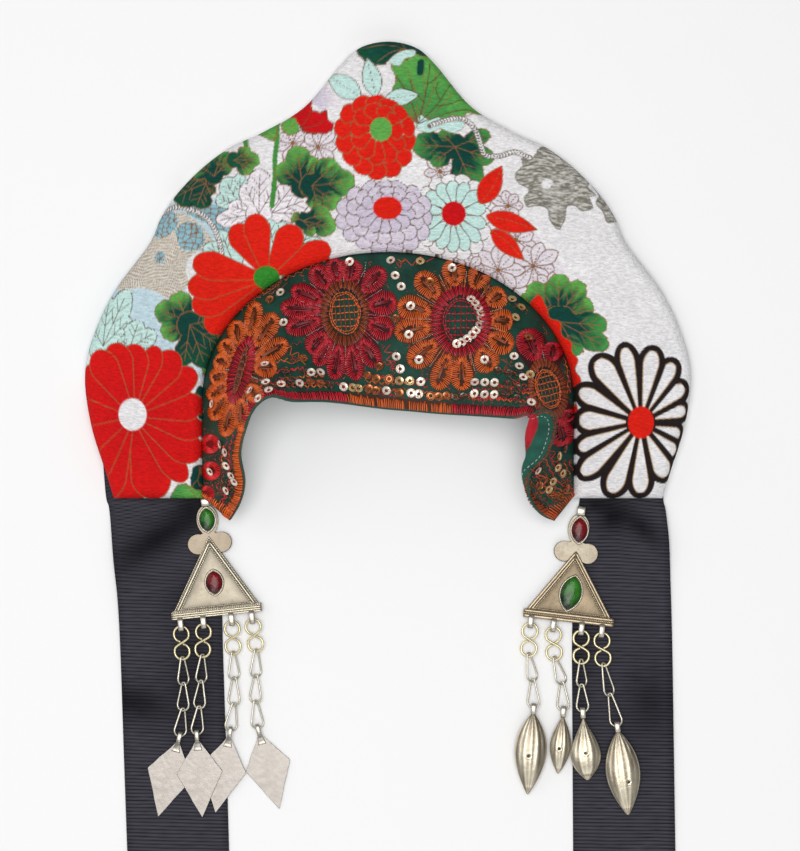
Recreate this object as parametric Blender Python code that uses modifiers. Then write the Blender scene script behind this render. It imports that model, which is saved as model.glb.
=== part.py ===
"""Kokoshnik: a padded crest covered in printed crepe, an embroidered forehead band sewn inside its
arch, two grosgrain ribbons behind its feet, and a silver pendant with four chains at each inner corner.

It lies on its back. +Z points away from the surface, +Y runs from the ribbon ends to the peak of the
crest, and the origin lies on the surface under the middle of the whole. Sizes are in millimetres, and
MM turns them into metres.
"""

import math

import bmesh
import bpy
from mathutils import Matrix, Vector

MM = 0.001
GAP = 0.3

# Crest: a padded plate with a full round edge
CREST_THICKNESS = 10.0
CREST_CROWN = 2.5
CREST_FOOT_Y = -23.7
CREST_STATIONS = 38
# Distances from the end of a leg that get a section, because the end is round
CREST_END_STATIONS = (0.25, 1.5, 5.0)
ARCH_HALF_WIDTH = 90.5
ARCH_CENTRE_Y = 24.2
ARCH_RISE = 72.2
# The back lies on the surface at the peak, and on the ribbons at the feet
BACK_OVER_RIBBONS = 1.3
BACK_ON_SURFACE = 0.0
BACK_SLOPE_FROM_Y = 25.0
BACK_SLOPE_TO_Y = 70.0
# Right half of the outer edge from the peak to the foot: half width, height
CREST_OUTLINE = (
    (0.0, 199.2),
    (13.6, 196.2),
    (23.5, 187.5),
    (40.5, 167.5),
    (61.0, 155.0),
    (77.0, 147.6),
    (91.0, 137.2),
    (103.2, 124.6),
    (110.9, 113.0),
    (116.8, 100.0),
    (134.3, 76.2),
    (144.6, 53.0),
    (147.9, 34.5),
    (144.6, 11.0),
    (137.7, -11.0),
    (133.8, -23.7),
)

# Forehead band: cloth 2 mm thick, sewn to the middle of the arch's wall
BAND_THICKNESS = 2.0
BAND_SEAM_INSET = 1.2
BAND_SEAM_LIFT = 5.0
BAND_ROLL_RADIUS = 2.5
BAND_ROLL_END = 184.0
BAND_STEPS = 2
BAND_COLUMNS = 9
# A row for each section, from the left foot over the arch to the right foot.
# seam: distance along the arch's edge. heading: plan direction from the seam to the free edge, degrees.
# reach, rise: plan distance and height of the free edge or fold. belly: outward bow, degrees.
# dip: hollow across the middle. hem: cloth rolled back outward past the fold.
BAND_SECTIONS = (
    # seam, heading, reach, rise, belly, dip, hem
    (1.2, -40.0, 18.0, 15.0, 10.0, 0.0, 0.0),
    (9.0, -5.0, 21.5, 27.0, 12.0, 0.0, 0.0),
    (23.5, -2.0, 20.0, 38.0, 12.0, 0.5, 0.0),
    (45.5, -22.0, 25.5, 50.0, 10.0, 2.0, 0.0),
    (81.9, -51.0, 40.0, 56.0, 14.0, 6.0, 0.0),
    (102.9, -64.0, 54.5, 50.0, 12.0, 4.0, 0.0),
    (131.9, -74.0, 67.5, 39.0, 11.0, 1.0, 0.0),
    (157.4, -80.5, 75.5, 33.0, 9.0, 0.0, 0.0),
    (182.0, -87.0, 77.5, 31.0, 8.0, 0.0, 0.0),
    (206.6, -92.0, 75.0, 32.0, 9.0, 0.0, 0.0),
    (233.2, -99.0, 66.3, 38.0, 12.0, 0.0, 0.0),
    (258.8, -106.5, 52.3, 46.0, 14.0, 1.0, 0.0),
    (278.3, -118.0, 36.0, 48.0, 14.0, 2.0, 3.0),
    (304.0, -147.0, 27.8, 42.0, 12.0, 1.0, 19.0),
    (326.0, -170.0, 23.3, 36.0, 12.0, 0.0, 15.0),
    (341.0, -178.0, 24.0, 28.0, 12.0, 0.0, 7.0),
    (351.0, -130.0, 15.5, 13.0, 10.0, 0.0, 0.0),
)

# Ribbons: 50 mm grosgrain, 1 mm thick, flat where a pendant lies on them
RIBBON_THICKNESS = 1.0
RIBBON_ACROSS = 4
RIBBON_STEPS = 2
RIBBON_LIFT_SHARE = 0.55
# A row for each level: height, left edge, right edge, lift of the outer edge
RIBBON_LEFT_LEVELS = (
    (14.0, -141.0, -92.5, 0.0),
    (-21.0, -138.4, -90.2, 0.0),
    (-30.0, -136.4, -88.0, 0.6),
    (-54.0, -134.3, -84.6, 3.0),
    (-73.7, -132.3, -81.6, 2.2),
    (-100.0, -131.0, -80.8, 0.8),
    (-150.0, -129.4, -79.2, 0.0),
    (-191.3, -127.9, -78.0, 0.4),
    (-199.2, -127.6, -77.7, 0.4),
)
RIBBON_RIGHT_LEVELS = (
    (14.0, 95.0, 135.0, 0.0),
    (-21.0, 94.0, 134.7, 0.0),
    (-30.0, 92.9, 135.8, 2.2),
    (-45.0, 92.0, 137.4, 3.0),
    (-65.0, 91.0, 138.2, 1.4),
    (-93.3, 90.1, 139.1, 0.4),
    (-140.0, 90.3, 139.8, 0.8),
    (-191.0, 90.6, 140.6, 0.4),
    (-199.2, 90.7, 140.7, 0.3),
)

# Pendant plate, about the tip of its triangle, with the head above it and the rail below
PLATE_BASE_Z = 1.3
SHEET_THICKNESS = 1.2
TRIANGLE_HALF_BASE = 21.2
FRAME_WIDTH = 3.4
FRAME_HEIGHT = 2.4
FRAME_BASE_SHARE = 0.45
HEAD_CENTRE_Y = 7.6
HEAD_HALF_WIDTH = 5.3
HEAD_HALF_HEIGHT = 7.5
LOBE_RADIUS = 5.0
LOBE_OFFSET_X = 5.9
LOBE_OFFSET_Y = -4.0
NECK_CENTRE_Y = -1.8
NECK_HALF_WIDTH = 6.4
NECK_HALF_HEIGHT = 3.4
RAIL_LENGTH = 44.4
RAIL_WIDTH = 4.2
RAIL_HEIGHT = 3.0
RAIL_OVERLAP = 0.6
STRAP_WIDTH = 2.6
STRAP_WALL = 0.7
STRAP_LENGTH = 7.0
STRAP_HEIGHT = 4.4
STRAP_OVERLAP = 1.2
STRAP_OFFSETS = (-18.1, -6.9, 6.9, 16.9)
HANGER_WIDTH = 4.0
HANGER_LENGTH = 5.0
BEZEL_WALL = 0.7
BEZEL_TIP_SHARE = 1.5
BEZEL_HEIGHT = 1.4
BEZEL_OVERLAP = 0.4
STONE_CLEARANCE = 0.2
STONE_HEIGHT = 2.2
# A row for each edge up the stone: share of its outline, share of its height
STONE_LEVELS = (
    (1.0, 0.0),
    (1.0, 0.35),
    (0.8, 0.78),
    (0.5, 1.0),
)
STRAP_SEGMENTS = 8
STRAP_SQUARENESS = 0.7
LOBE_SEGMENTS = 14

# Links: wire diameters, and lengths between the wire's centres at the two ends
S_WIRE = 1.2
S_LENGTH = 16.2
S_EYE_RADIUS = 3.4
S_POINTS = 10
S_CURL_FROM = -74.0
S_CURL_TO = 225.0
LINK_WIRE = 1.0
LINK_HALF_WIDTH = 3.0
LINK_TOP_SHARE = 0.86
LINK_SQUARENESS = 0.6
LINK_POINTS = 10
WIRE_SIDES_RESOLUTION = 1
# Links lie turned about their own length, each against the last, so that one passes through the next
S_ROLL = -14.0
LINK_ROLLS = (34.0, -20.0, 21.0)
# Room for a wire that curves or turns inside its strap
STRAP_PLAY = 0.9

# Drops
BAIL_WIDTH = 2.0
BAIL_LENGTH = 5.9
BAIL_HEIGHT = 4.2
DIAMOND_LENGTH = 37.5
DIAMOND_HALF_WIDTH = 11.2
DIAMOND_SHOULDER = 15.5
DIAMOND_THICKNESS = 0.9
DIAMOND_OVERLAP = 1.4
LEAF_POINTS = 12
LEAF_SECTIONS = 7
LEAF_RIB = 0.9
LEAF_FULLNESS = 0.9

# Where each pendant hangs: tip of its triangle, turn in degrees
# height: of its triangle. head_lift: how much higher the head and the lobes are soldered
PENDANT_LEFT = {"tip": (-87.7, -41.9), "turn": 5.9, "height": 36.0, "head_lift": 0.0}
PENDANT_RIGHT = {"tip": (92.1, -49.2), "turn": -6.7, "height": 31.8, "head_lift": 2.8}
# stone: centre over the tip, half width, half height, turn
STONES_LEFT = {
    "top": (0.0, 7.6, 3.9, 5.9, 0.0, "green_glass"),
    "main": (0.3, -23.3, 4.2, 6.0, 0.0, "red_glass"),
}
STONES_RIGHT = {
    "top": (0.4, 9.9, 4.0, 6.4, 3.0, "red_glass"),
    "main": (-0.2, -21.2, 5.2, 8.7, -8.0, "green_glass"),
}
# A row for each strand, from left to right. raise: how far its strap sits up the rail.
# s, a, b, c: headings of the S link and of the teardrop links, degrees from straight down, + to the right.
# drop: heading of the drop. rest: height under the drop.
# link: length of the teardrop links. slack: how far the first lies up inside the S link's eye.
STRANDS_LEFT = (
    # raise, s, (a, b, c), drop, rest, link, slack
    (0.0, 3.0, (2.5, -1.0, -7.0), -15.1, 1.3, 13.9, 0.0),
    (0.0, -2.0, (-3.0, -4.0, -5.0), 3.6, 2.5, 13.9, 0.0),
    (0.0, 3.0, (2.0, 0.0, -8.0), -10.4, 1.3, 13.9, 0.0),
    (0.0, 8.0, (-1.0, -1.0, 5.0), 14.7, 0.3, 13.9, 0.0),
)
STRANDS_RIGHT = (
    # raise, s, (a, b), drop, rest, link, slack
    (0.6, -4.0, (9.0, 2.0), -4.0, 0.3, 14.2, 0.4),
    (0.0, 2.0, (17.0, 3.0), -5.0, 0.3, 14.2, 0.5),
    (0.0, 0.0, (1.0, 2.0), 4.0, 1.3, 13.5, 0.8),
    (0.0, 3.0, (12.0, 13.0), 7.0, 1.3, 16.4, 0.1),
)
# A row for each leaf drop, from left to right. widest: how far down its length it is widest
LEAVES = (
    # half width, length, half thickness, widest
    (7.9, 40.5, 3.5, 0.46),
    (5.1, 29.0, 2.8, 0.52),
    (7.4, 31.5, 3.2, 0.6),
    (8.5, 42.0, 3.5, 0.47),
)

COLOURS = {
    "printed_crepe": ((0.78, 0.30, 0.25, 1.0), 0.85, 0.0),
    "embroidered_cloth": ((0.35, 0.05, 0.03, 1.0), 0.8, 0.0),
    "black_grosgrain": ((0.012, 0.013, 0.018, 1.0), 0.7, 0.0),
    "old_silver": ((0.62, 0.58, 0.52, 1.0), 0.35, 1.0),
    "green_glass": ((0.01, 0.16, 0.03, 1.0), 0.08, 0.0),
    "red_glass": ((0.30, 0.005, 0.02, 1.0), 0.08, 0.0),
}


def clear_scene():
    for found in list(bpy.data.objects):
        bpy.data.objects.remove(found)


def make_collection(name):
    made = bpy.data.collections.new(name)
    bpy.context.scene.collection.children.link(made)
    return made


def make_materials():
    made = {}
    for name, (colour, roughness, metallic) in COLOURS.items():
        material = bpy.data.materials.new(name)
        material.use_nodes = True
        shader = material.node_tree.nodes["Principled BSDF"]
        shader.inputs["Base Color"].default_value = colour
        shader.inputs["Roughness"].default_value = roughness
        shader.inputs["Metallic"].default_value = metallic
        material.diffuse_color = colour
        made[name] = material
    return made


def smooth(rows, steps):
    """Points on a Catmull-Rom curve through the rows, with this many steps between two rows."""
    before = tuple(2 * a - b for a, b in zip(rows[0], rows[1]))
    after = tuple(2 * a - b for a, b in zip(rows[-1], rows[-2]))
    padded = [before, *rows, after]
    points = []
    for first in range(len(rows) - 1):
        columns = list(zip(*padded[first : first + 4]))
        for step in range(steps):
            t = step / steps
            weights = (
                -t + 2 * t**2 - t**3,
                2 - 5 * t**2 + 3 * t**3,
                t + 4 * t**2 - 3 * t**3,
                t**3 - t**2,
            )
            points.append(tuple(sum(w * v for w, v in zip(weights, column)) / 2 for column in columns))
    points.append(tuple(rows[-1]))
    return points


def lengths_along(points):
    """The distance of each point from the first, along the line."""
    total = [0.0]
    for a, b in zip(points, points[1:]):
        total.append(total[-1] + math.dist(a, b))
    return total


def point_along(points, lengths, distance):
    """The point of a line at this distance from its start."""
    distance = min(max(distance, 0.0), lengths[-1])
    for index in range(1, len(points)):
        if lengths[index] >= distance:
            break
    share = (distance - lengths[index - 1]) / (lengths[index] - lengths[index - 1])
    return tuple(a + (b - a) * share for a, b in zip(points[index - 1], points[index]))


def arch_edge():
    """The crest's inner edge, from the left foot up a straight leg, round a half ellipse and down again."""
    turns = [math.pi * (1 - step / 120) for step in range(121)]
    curve = [(ARCH_HALF_WIDTH * math.cos(a), ARCH_CENTRE_Y + ARCH_RISE * math.sin(a)) for a in turns]
    return [(-ARCH_HALF_WIDTH, CREST_FOOT_Y), *curve, (ARCH_HALF_WIDTH, CREST_FOOT_Y)]


def outer_edge():
    """The crest's outer edge, from the left foot over the peak to the right foot."""
    left = [(-x, y) for x, y in reversed(CREST_OUTLINE[1:])]
    return smooth([*left, *CREST_OUTLINE], 10)


def back_height(y):
    """How high the crest's back lies: on the ribbons at the feet, on the surface further up."""
    share = min(max((y - BACK_SLOPE_FROM_Y) / (BACK_SLOPE_TO_Y - BACK_SLOPE_FROM_Y), 0.0), 1.0)
    share = share * share * (3 - 2 * share)
    return BACK_OVER_RIBBONS + (BACK_ON_SURFACE - BACK_OVER_RIBBONS) * share


def crest_section(across):
    """A closed section of the crest: distance from the inner edge, and height over the back."""
    radius = CREST_THICKNESS / 2
    round_edge = [
        (radius - radius * math.cos(turn), radius + radius * math.sin(turn))
        for turn in (math.radians(angle) for angle in (-90, -40, 0, 40, 90))
    ]
    crown = [
        (across * share, CREST_THICKNESS + CREST_CROWN * math.sin(math.pi * share))
        for share in (0.25, 0.5, 0.75)
    ]
    far_edge = [(across - distance, height) for distance, height in reversed(round_edge)]
    return [*round_edge, *crown, *far_edge]


def mesh_object(name, mesh, collection, material):
    made = bpy.data.objects.new(name, mesh)
    collection.objects.link(made)
    mesh.materials.clear()
    mesh.materials.append(material)
    return made


def shade(mesh, angle):
    mesh.shade_smooth()
    mesh.set_sharp_from_angle(angle=math.radians(angle))


def loft_mesh(name, sections, closed):
    """A mesh through sections with the same number of points: a closed tube with caps, or an open sheet."""
    shell = bmesh.new()
    rings = [[shell.verts.new(Vector(point) * MM) for point in section] for section in sections]
    count = len(rings[0])
    for ring, following in zip(rings, rings[1:]):
        for index in range(count if closed else count - 1):
            after = (index + 1) % count
            shell.faces.new((ring[index], ring[after], following[after], following[index]))
    if closed:
        shell.faces.new(rings[0])
        shell.faces.new(rings[-1])
        bmesh.ops.recalc_face_normals(shell, faces=shell.faces)
    mesh = bpy.data.meshes.new(name)
    shell.to_mesh(mesh)
    shell.free()
    return mesh


def make_crest(collection, material):
    inner = arch_edge()
    outer = outer_edge()
    inner_lengths = lengths_along(inner)
    outer_lengths = lengths_along(outer)
    radius = CREST_THICKNESS / 2
    total = inner_lengths[-1]
    stations = [*CREST_END_STATIONS, *(total * step / CREST_STATIONS for step in range(1, CREST_STATIONS))]
    stations += [total - end for end in reversed(CREST_END_STATIONS)]
    sections = []
    for station in stations:
        near = Vector(point_along(inner, inner_lengths, station))
        far = Vector(point_along(outer, outer_lengths, station / total * outer_lengths[-1]))
        direction = (far - near).normalized()
        depth = radius - min(station, total - station, radius)
        flatten = math.sqrt(radius**2 - depth**2) / radius
        section = []
        for distance, height in crest_section((far - near).length):
            place = near + direction * distance
            level = radius + (height - radius) * flatten
            section.append((place.x, place.y, back_height(place.y) + level))
        sections.append(section)
    mesh = loft_mesh("crest", sections, closed=True)
    shade(mesh, 50)
    return mesh_object("crest", mesh, collection, material)


def band_profile(reach, rise, belly, dip, hem, count):
    """Points across the band from the seam to the free edge: plan distance and height over the seam."""
    chord = math.hypot(reach, rise)
    slope = math.atan2(rise, reach)
    bow = math.radians(belly)
    bowed = chord * bow / math.sin(bow)
    end = slope - bow
    turn = math.radians(BAND_ROLL_END) - end
    rolled = BAND_ROLL_RADIUS * turn
    points = []
    for index in range(count):
        length = (bowed + hem) * index / (count - 1)
        if length <= bowed:
            share = length / bowed
            part = bow * share
            distance = bowed / bow * math.sin(part)
            heading = slope + bow - part
            hollow = dip * math.sin(math.pi * share) ** 2
            x = distance * math.cos(heading) + hollow * math.sin(slope)
            z = distance * math.sin(heading) - hollow * math.cos(slope)
        else:
            turned = min(length - bowed, rolled) / BAND_ROLL_RADIUS
            x = reach + BAND_ROLL_RADIUS * (math.sin(end + turned) - math.sin(end))
            z = rise + BAND_ROLL_RADIUS * (math.cos(end) - math.cos(end + turned))
            straight = max(length - bowed - rolled, 0.0)
            x += straight * math.cos(end + turned)
            z += straight * math.sin(end + turned)
        points.append((x, z))
    return points


def band_sections(steps, columns):
    """The band's middle surface, as a list of sections from the left foot to the right foot."""
    edge = arch_edge()
    lengths = lengths_along(edge)
    sections = []
    for seam, heading, reach, rise, belly, dip, hem in smooth(BAND_SECTIONS, steps):
        start = Vector(point_along(edge, lengths, seam))
        ahead = Vector(point_along(edge, lengths, seam + 1.0))
        behind = Vector(point_along(edge, lengths, seam - 1.0))
        along = (ahead - behind).normalized()
        inward = Vector((along.y, -along.x))
        start += inward * BAND_SEAM_INSET
        level = back_height(start.y) + BAND_SEAM_LIFT
        direction = Vector((math.cos(math.radians(heading)), math.sin(math.radians(heading))))
        profile = band_profile(reach, rise - level, belly, dip, max(hem, 0.0), columns)
        places = [(start + direction * distance, level + height) for distance, height in profile]
        sections.append([(place.x, place.y, height) for place, height in places])
    return sections


def make_band(collection, material):
    mesh = loft_mesh("forehead_band", band_sections(BAND_STEPS, BAND_COLUMNS), closed=False)
    shade(mesh, 60)
    band = mesh_object("forehead_band", mesh, collection, material)
    wall = band.modifiers.new("cloth", "SOLIDIFY")
    wall.thickness = BAND_THICKNESS * MM
    wall.offset = 0.0
    return band


def make_ribbon(name, levels, outer_is_left, collection, material):
    """A ribbon: its middle surface lies flat, and its outer edge lifts by the last column."""
    sections = []
    for y, left, right, lift in smooth(levels, RIBBON_STEPS):
        section = []
        for index in range(RIBBON_ACROSS + 1):
            share = index / RIBBON_ACROSS
            from_outer = share if outer_is_left else 1 - share
            raised = max(lift, 0.0) * max(1 - from_outer / RIBBON_LIFT_SHARE, 0.0) ** 2
            section.append((left + (right - left) * share, y, RIBBON_THICKNESS / 2 + raised))
        sections.append(section)
    mesh = loft_mesh(name, sections, closed=False)
    shade(mesh, 60)
    ribbon = mesh_object(name, mesh, collection, material)
    wall = ribbon.modifiers.new("weave", "SOLIDIFY")
    wall.thickness = RIBBON_THICKNESS * MM
    wall.offset = 0.0
    return ribbon


def flat_solid(outlines, thickness):
    """A plate from closed outlines, holes among them, standing from z = 0 to its thickness."""
    curve = bpy.data.curves.new("outline", "CURVE")
    curve.dimensions = "2D"
    curve.fill_mode = "BOTH"
    curve.extrude = thickness * MM / 2
    for outline in outlines:
        spline = curve.splines.new("POLY")
        spline.points.add(len(outline) - 1)
        for point, (x, y) in zip(spline.points, outline):
            point.co = (x * MM, y * MM, 0.0, 1.0)
        spline.use_cyclic_u = True
    return curve_to_mesh(curve, Matrix.Translation((0, 0, thickness * MM / 2)))


def curve_to_mesh(curve, placed=Matrix()):
    """The closed mesh of a curve, with its caps welded on."""
    holder = bpy.data.objects.new("curve", curve)
    bpy.context.scene.collection.objects.link(holder)
    graph = bpy.context.evaluated_depsgraph_get()
    mesh = bpy.data.meshes.new_from_object(holder.evaluated_get(graph))
    bpy.data.objects.remove(holder)
    bpy.data.curves.remove(curve)
    work = bmesh.new()
    work.from_mesh(mesh)
    bmesh.ops.remove_doubles(work, verts=work.verts, dist=1e-6)
    bmesh.ops.recalc_face_normals(work, faces=work.faces)
    bmesh.ops.transform(work, matrix=placed, verts=work.verts)
    work.to_mesh(mesh)
    work.free()
    return mesh


def squared(value, power):
    return math.copysign(abs(value) ** power, value)


def oval(half_width, half_height, segments, centre=(0.0, 0.0), power=1.0):
    """An ellipse, or with a power under 1 an oval whose sides are flatter."""
    turns = [2 * math.pi * (step + 0.5) / segments for step in range(segments)]
    return [
        (
            centre[0] + half_width * squared(math.cos(turn), power),
            centre[1] + half_height * squared(math.sin(turn), power),
        )
        for turn in turns
    ]


def marquise(half_width, half_height, steps=6):
    """A pointed oval of two arcs that meet at its upper and lower tips."""
    radius = (half_width**2 + half_height**2) / (2 * half_width)
    opening = math.asin(half_height / radius)
    offset = radius - half_width
    right = [
        (radius * math.cos(turn) - offset, radius * math.sin(turn))
        for turn in (-opening + 2 * opening * step / steps for step in range(steps))
    ]
    return right + [(-x, -y) for x, y in right]


def strap_mesh(width, length, height):
    """A strap bent into an oval ring about the X axis, with its centre at the origin."""
    outer = oval(length / 2, height / 2, STRAP_SEGMENTS, power=STRAP_SQUARENESS)
    inner_size = (length / 2 - STRAP_WALL, height / 2 - STRAP_WALL)
    inner = oval(*inner_size, STRAP_SEGMENTS, power=STRAP_SQUARENESS)
    mesh = flat_solid([outer, inner], width)
    centred = Matrix.Translation((0, 0, -width * MM / 2))
    mesh.transform(Matrix.Rotation(math.radians(90), 4, "Y") @ Matrix.Rotation(math.radians(90), 4, "Z") @ centred)
    return mesh


def fuse(name, meshes, collection, cutters, material, cuts=()):
    """One object from overlapping meshes, joined and cut by Booleans whose other halves are cutters."""
    body = mesh_object(name, meshes[0], collection, material)
    for operation, others in (("UNION", meshes[1:]), ("DIFFERENCE", cuts)):
        for index, other in enumerate(others):
            helper = bpy.data.objects.new(f"{name}_{operation.lower()}_{index}", other)
            cutters.objects.link(helper)
            helper.hide_render = True
            helper.display_type = "WIRE"
            modifier = body.modifiers.new(helper.name, "BOOLEAN")
            modifier.operation = operation
            modifier.object = helper
    return body


def bake(body, cutters):
    """Applies the Booleans of a body, so that it can be turned and placed as one mesh."""
    graph = bpy.context.evaluated_depsgraph_get()
    mesh = bpy.data.meshes.new_from_object(body.evaluated_get(graph))
    for modifier in list(body.modifiers):
        cutters.objects.unlink(modifier.object)
        body.modifiers.remove(modifier)
    body.data = mesh
    mesh.name = body.name


def moved(mesh, x, y, z=0.0):
    mesh.transform(Matrix.Translation(Vector((x, y, z)) * MM))
    return mesh


def turned(mesh, angle):
    mesh.transform(Matrix.Rotation(math.radians(angle), 4, "Z"))
    return mesh


def triangle(height, inset):
    """The triangle's corners, with its sides moved in by this much."""
    side_slope = math.atan2(height, TRIANGLE_HALF_BASE)
    top = -inset / math.cos(side_slope)
    bottom = -height + inset * FRAME_BASE_SHARE
    half = (top - bottom) / math.tan(side_slope)
    return [(0.0, top), (-half, bottom), (half, bottom)]


def pendant_matrix(place):
    x, y = place["tip"]
    return Matrix.Translation(Vector((x, y, PLATE_BASE_Z)) * MM) @ Matrix.Rotation(
        math.radians(place["turn"]), 4, "Z"
    )


def rail_centre_y(place):
    return -place["height"] - RAIL_WIDTH / 2 + RAIL_OVERLAP


def strap_centre_y(place, raised):
    return rail_centre_y(place) - RAIL_WIDTH / 2 - STRAP_LENGTH / 2 + STRAP_OVERLAP + raised


def make_plate(name, place, stones, raises, collection, cutters, material):
    pieces = [flat_solid([triangle(place["height"], 0.0)], FRAME_HEIGHT)]
    rounds = (
        (HEAD_HALF_WIDTH, HEAD_HALF_HEIGHT, 0.0, HEAD_CENTRE_Y),
        (NECK_HALF_WIDTH, NECK_HALF_HEIGHT, 0.0, NECK_CENTRE_Y),
        (LOBE_RADIUS, LOBE_RADIUS, -LOBE_OFFSET_X, LOBE_OFFSET_Y),
        (LOBE_RADIUS, LOBE_RADIUS, LOBE_OFFSET_X, LOBE_OFFSET_Y),
    )
    for half_width, half_height, x, y in rounds:
        outline = oval(half_width, half_height, LOBE_SEGMENTS, (x, y + place["head_lift"]))
        pieces.append(flat_solid([outline], SHEET_THICKNESS))
    half = RAIL_LENGTH / 2
    top = rail_centre_y(place) + RAIL_WIDTH / 2
    bottom = rail_centre_y(place) - RAIL_WIDTH / 2
    pieces.append(flat_solid([[(-half, bottom), (half, bottom), (half, top), (-half, top)]], RAIL_HEIGHT))
    for offset, raised in zip(STRAP_OFFSETS, raises):
        strap = strap_mesh(STRAP_WIDTH, STRAP_LENGTH, STRAP_HEIGHT)
        pieces.append(moved(strap, offset, strap_centre_y(place, raised), STRAP_HEIGHT / 2))
    hanger = strap_mesh(HANGER_WIDTH, HANGER_LENGTH, STRAP_HEIGHT)
    hanger_y = HEAD_CENTRE_Y + HEAD_HALF_HEIGHT + place["head_lift"] + HANGER_LENGTH / 2 - STRAP_OVERLAP
    pieces.append(moved(hanger, 0.0, hanger_y, STRAP_HEIGHT / 2))
    for x, y, half_width, half_height, turn, _ in stones.values():
        ring = [
            marquise(half_width + BEZEL_WALL, half_height + BEZEL_TIP_SHARE * BEZEL_WALL),
            marquise(half_width, half_height),
        ]
        bezel = turned(flat_solid(ring, BEZEL_HEIGHT + BEZEL_OVERLAP), turn)
        pieces.append(moved(bezel, x, y, SHEET_THICKNESS - BEZEL_OVERLAP))
    pocket = flat_solid([triangle(place["height"], FRAME_WIDTH)], FRAME_HEIGHT)
    moved(pocket, 0.0, 0.0, SHEET_THICKNESS)
    first = fuse(f"{name}_frame", pieces[:1], collection, cutters, material, [pocket])
    bake(first, cutters)
    framed = first.data
    bpy.data.objects.remove(first)
    plate = fuse(name, [framed, *pieces[1:]], collection, cutters, material)
    bake(plate, cutters)
    plate.matrix_world = pendant_matrix(place)
    shade(plate.data, 40)
    return plate


def make_stone(name, place, stone, collection, material):
    """A pointed oval stone with a facet from each side of its girdle up to a flat table."""
    x, y, half_width, half_height, turn, _ = stone
    half_width -= STONE_CLEARANCE
    half_height -= BEZEL_TIP_SHARE * STONE_CLEARANCE
    sections = [
        [(px, py, height * STONE_HEIGHT) for px, py in marquise(half_width * share, half_height * share)]
        for share, height in STONE_LEVELS
    ]
    mesh = loft_mesh(name, sections, closed=True)
    stone_object = mesh_object(name, mesh, collection, material)
    stone_object.matrix_world = (
        pendant_matrix(place)
        @ Matrix.Translation(Vector((x, y, SHEET_THICKNESS + GAP)) * MM)
        @ Matrix.Rotation(math.radians(turn), 4, "Z")
    )
    return stone_object


def wire_mesh(points, diameter, closed):
    """A bent wire as a bevelled line through the points."""
    curve = bpy.data.curves.new("wire", "CURVE")
    curve.dimensions = "3D"
    curve.bevel_depth = diameter * MM / 2
    curve.bevel_resolution = WIRE_SIDES_RESOLUTION
    curve.use_fill_caps = True
    spline = curve.splines.new("POLY")
    spline.points.add(len(points) - 1)
    for point, (x, y, z) in zip(spline.points, points):
        point.co = (x * MM, y * MM, z * MM, 1.0)
    spline.use_cyclic_u = closed
    mesh = curve_to_mesh(curve)
    shade(mesh, 70)
    return mesh


def s_link_points():
    """An S of wire whose two ends curl back to its middle, hung from the wire's top centre."""
    half = S_LENGTH / 2
    centre = half - S_EYE_RADIUS
    start, stop = math.radians(S_CURL_FROM), math.radians(S_CURL_TO)
    upper = []
    for step in range(S_POINTS):
        turn = start + (stop - start) * step / (S_POINTS - 1)
        upper.append((S_EYE_RADIUS * math.cos(turn), centre + S_EYE_RADIUS * math.sin(turn)))
    lower = [(-x, -y) for x, y in reversed(upper)]
    return [(x, y - half, 0.0) for x, y in [*upper, *lower]]


def link_points(length):
    """A teardrop ring of wire, narrower at its top, hung from the wire's top centre."""
    points = []
    least = (1 - math.cos(math.pi / LINK_POINTS)) / 2
    for step in range(LINK_POINTS):
        turn = 2 * math.pi * (step + 0.5) / LINK_POINTS
        down = ((1 - math.cos(turn)) / 2 - least) / (1 - 2 * least)
        share = LINK_TOP_SHARE + (1 - LINK_TOP_SHARE) * down
        bulge = squared(math.sin(turn), LINK_SQUARENESS)
        points.append((LINK_HALF_WIDTH * share * bulge, -length * down, 0.0))
    return points


def leaf_mesh(half_width, length, half_thickness, widest):
    """A domed leaf with ribs along it, from a blunt top to a pointed tip, as sections across it."""
    sections = []
    for index in range(LEAF_SECTIONS + 1):
        share = 0.02 + 0.96 * index / LEAF_SECTIONS
        width = math.sin(math.pi * share ** (math.log(0.5) / math.log(widest))) ** LEAF_FULLNESS
        section = []
        for step in range(LEAF_POINTS):
            turn = 2 * math.pi * step / LEAF_POINTS
            rib = 1 - (1 - LEAF_RIB) * (step % 2) if step % (LEAF_POINTS // 2) else 1.0
            section.append(
                (
                    half_width * width * math.cos(turn),
                    -length * share,
                    half_thickness * width * rib * math.sin(turn),
                )
            )
        sections.append(section)
    mesh = loft_mesh("leaf", sections, closed=True)
    return mesh


def make_diamond(name, collection, cutters, material):
    start = BAIL_LENGTH / 2
    kite = [
        (0.0, -start + DIAMOND_OVERLAP),
        (-DIAMOND_HALF_WIDTH, -start - DIAMOND_SHOULDER),
        (0.0, -start - DIAMOND_LENGTH),
        (DIAMOND_HALF_WIDTH, -start - DIAMOND_SHOULDER),
    ]
    plate = moved(flat_solid([kite], DIAMOND_THICKNESS), 0.0, 0.0, -BAIL_HEIGHT / 2)
    bail = strap_mesh(BAIL_WIDTH, BAIL_LENGTH, BAIL_HEIGHT)
    drop = fuse(name, [plate, bail], collection, cutters, material)
    bake(drop, cutters)
    return drop


def make_leaf(name, leaf, collection, cutters, material):
    body = moved(leaf_mesh(*leaf), 0.0, -BAIL_LENGTH / 2 + STRAP_OVERLAP)
    bail = strap_mesh(BAIL_WIDTH, BAIL_LENGTH, BAIL_HEIGHT)
    drop = fuse(name, [body, bail], collection, cutters, material)
    bake(drop, cutters)
    shade(drop.data, 35)
    return drop


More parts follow.
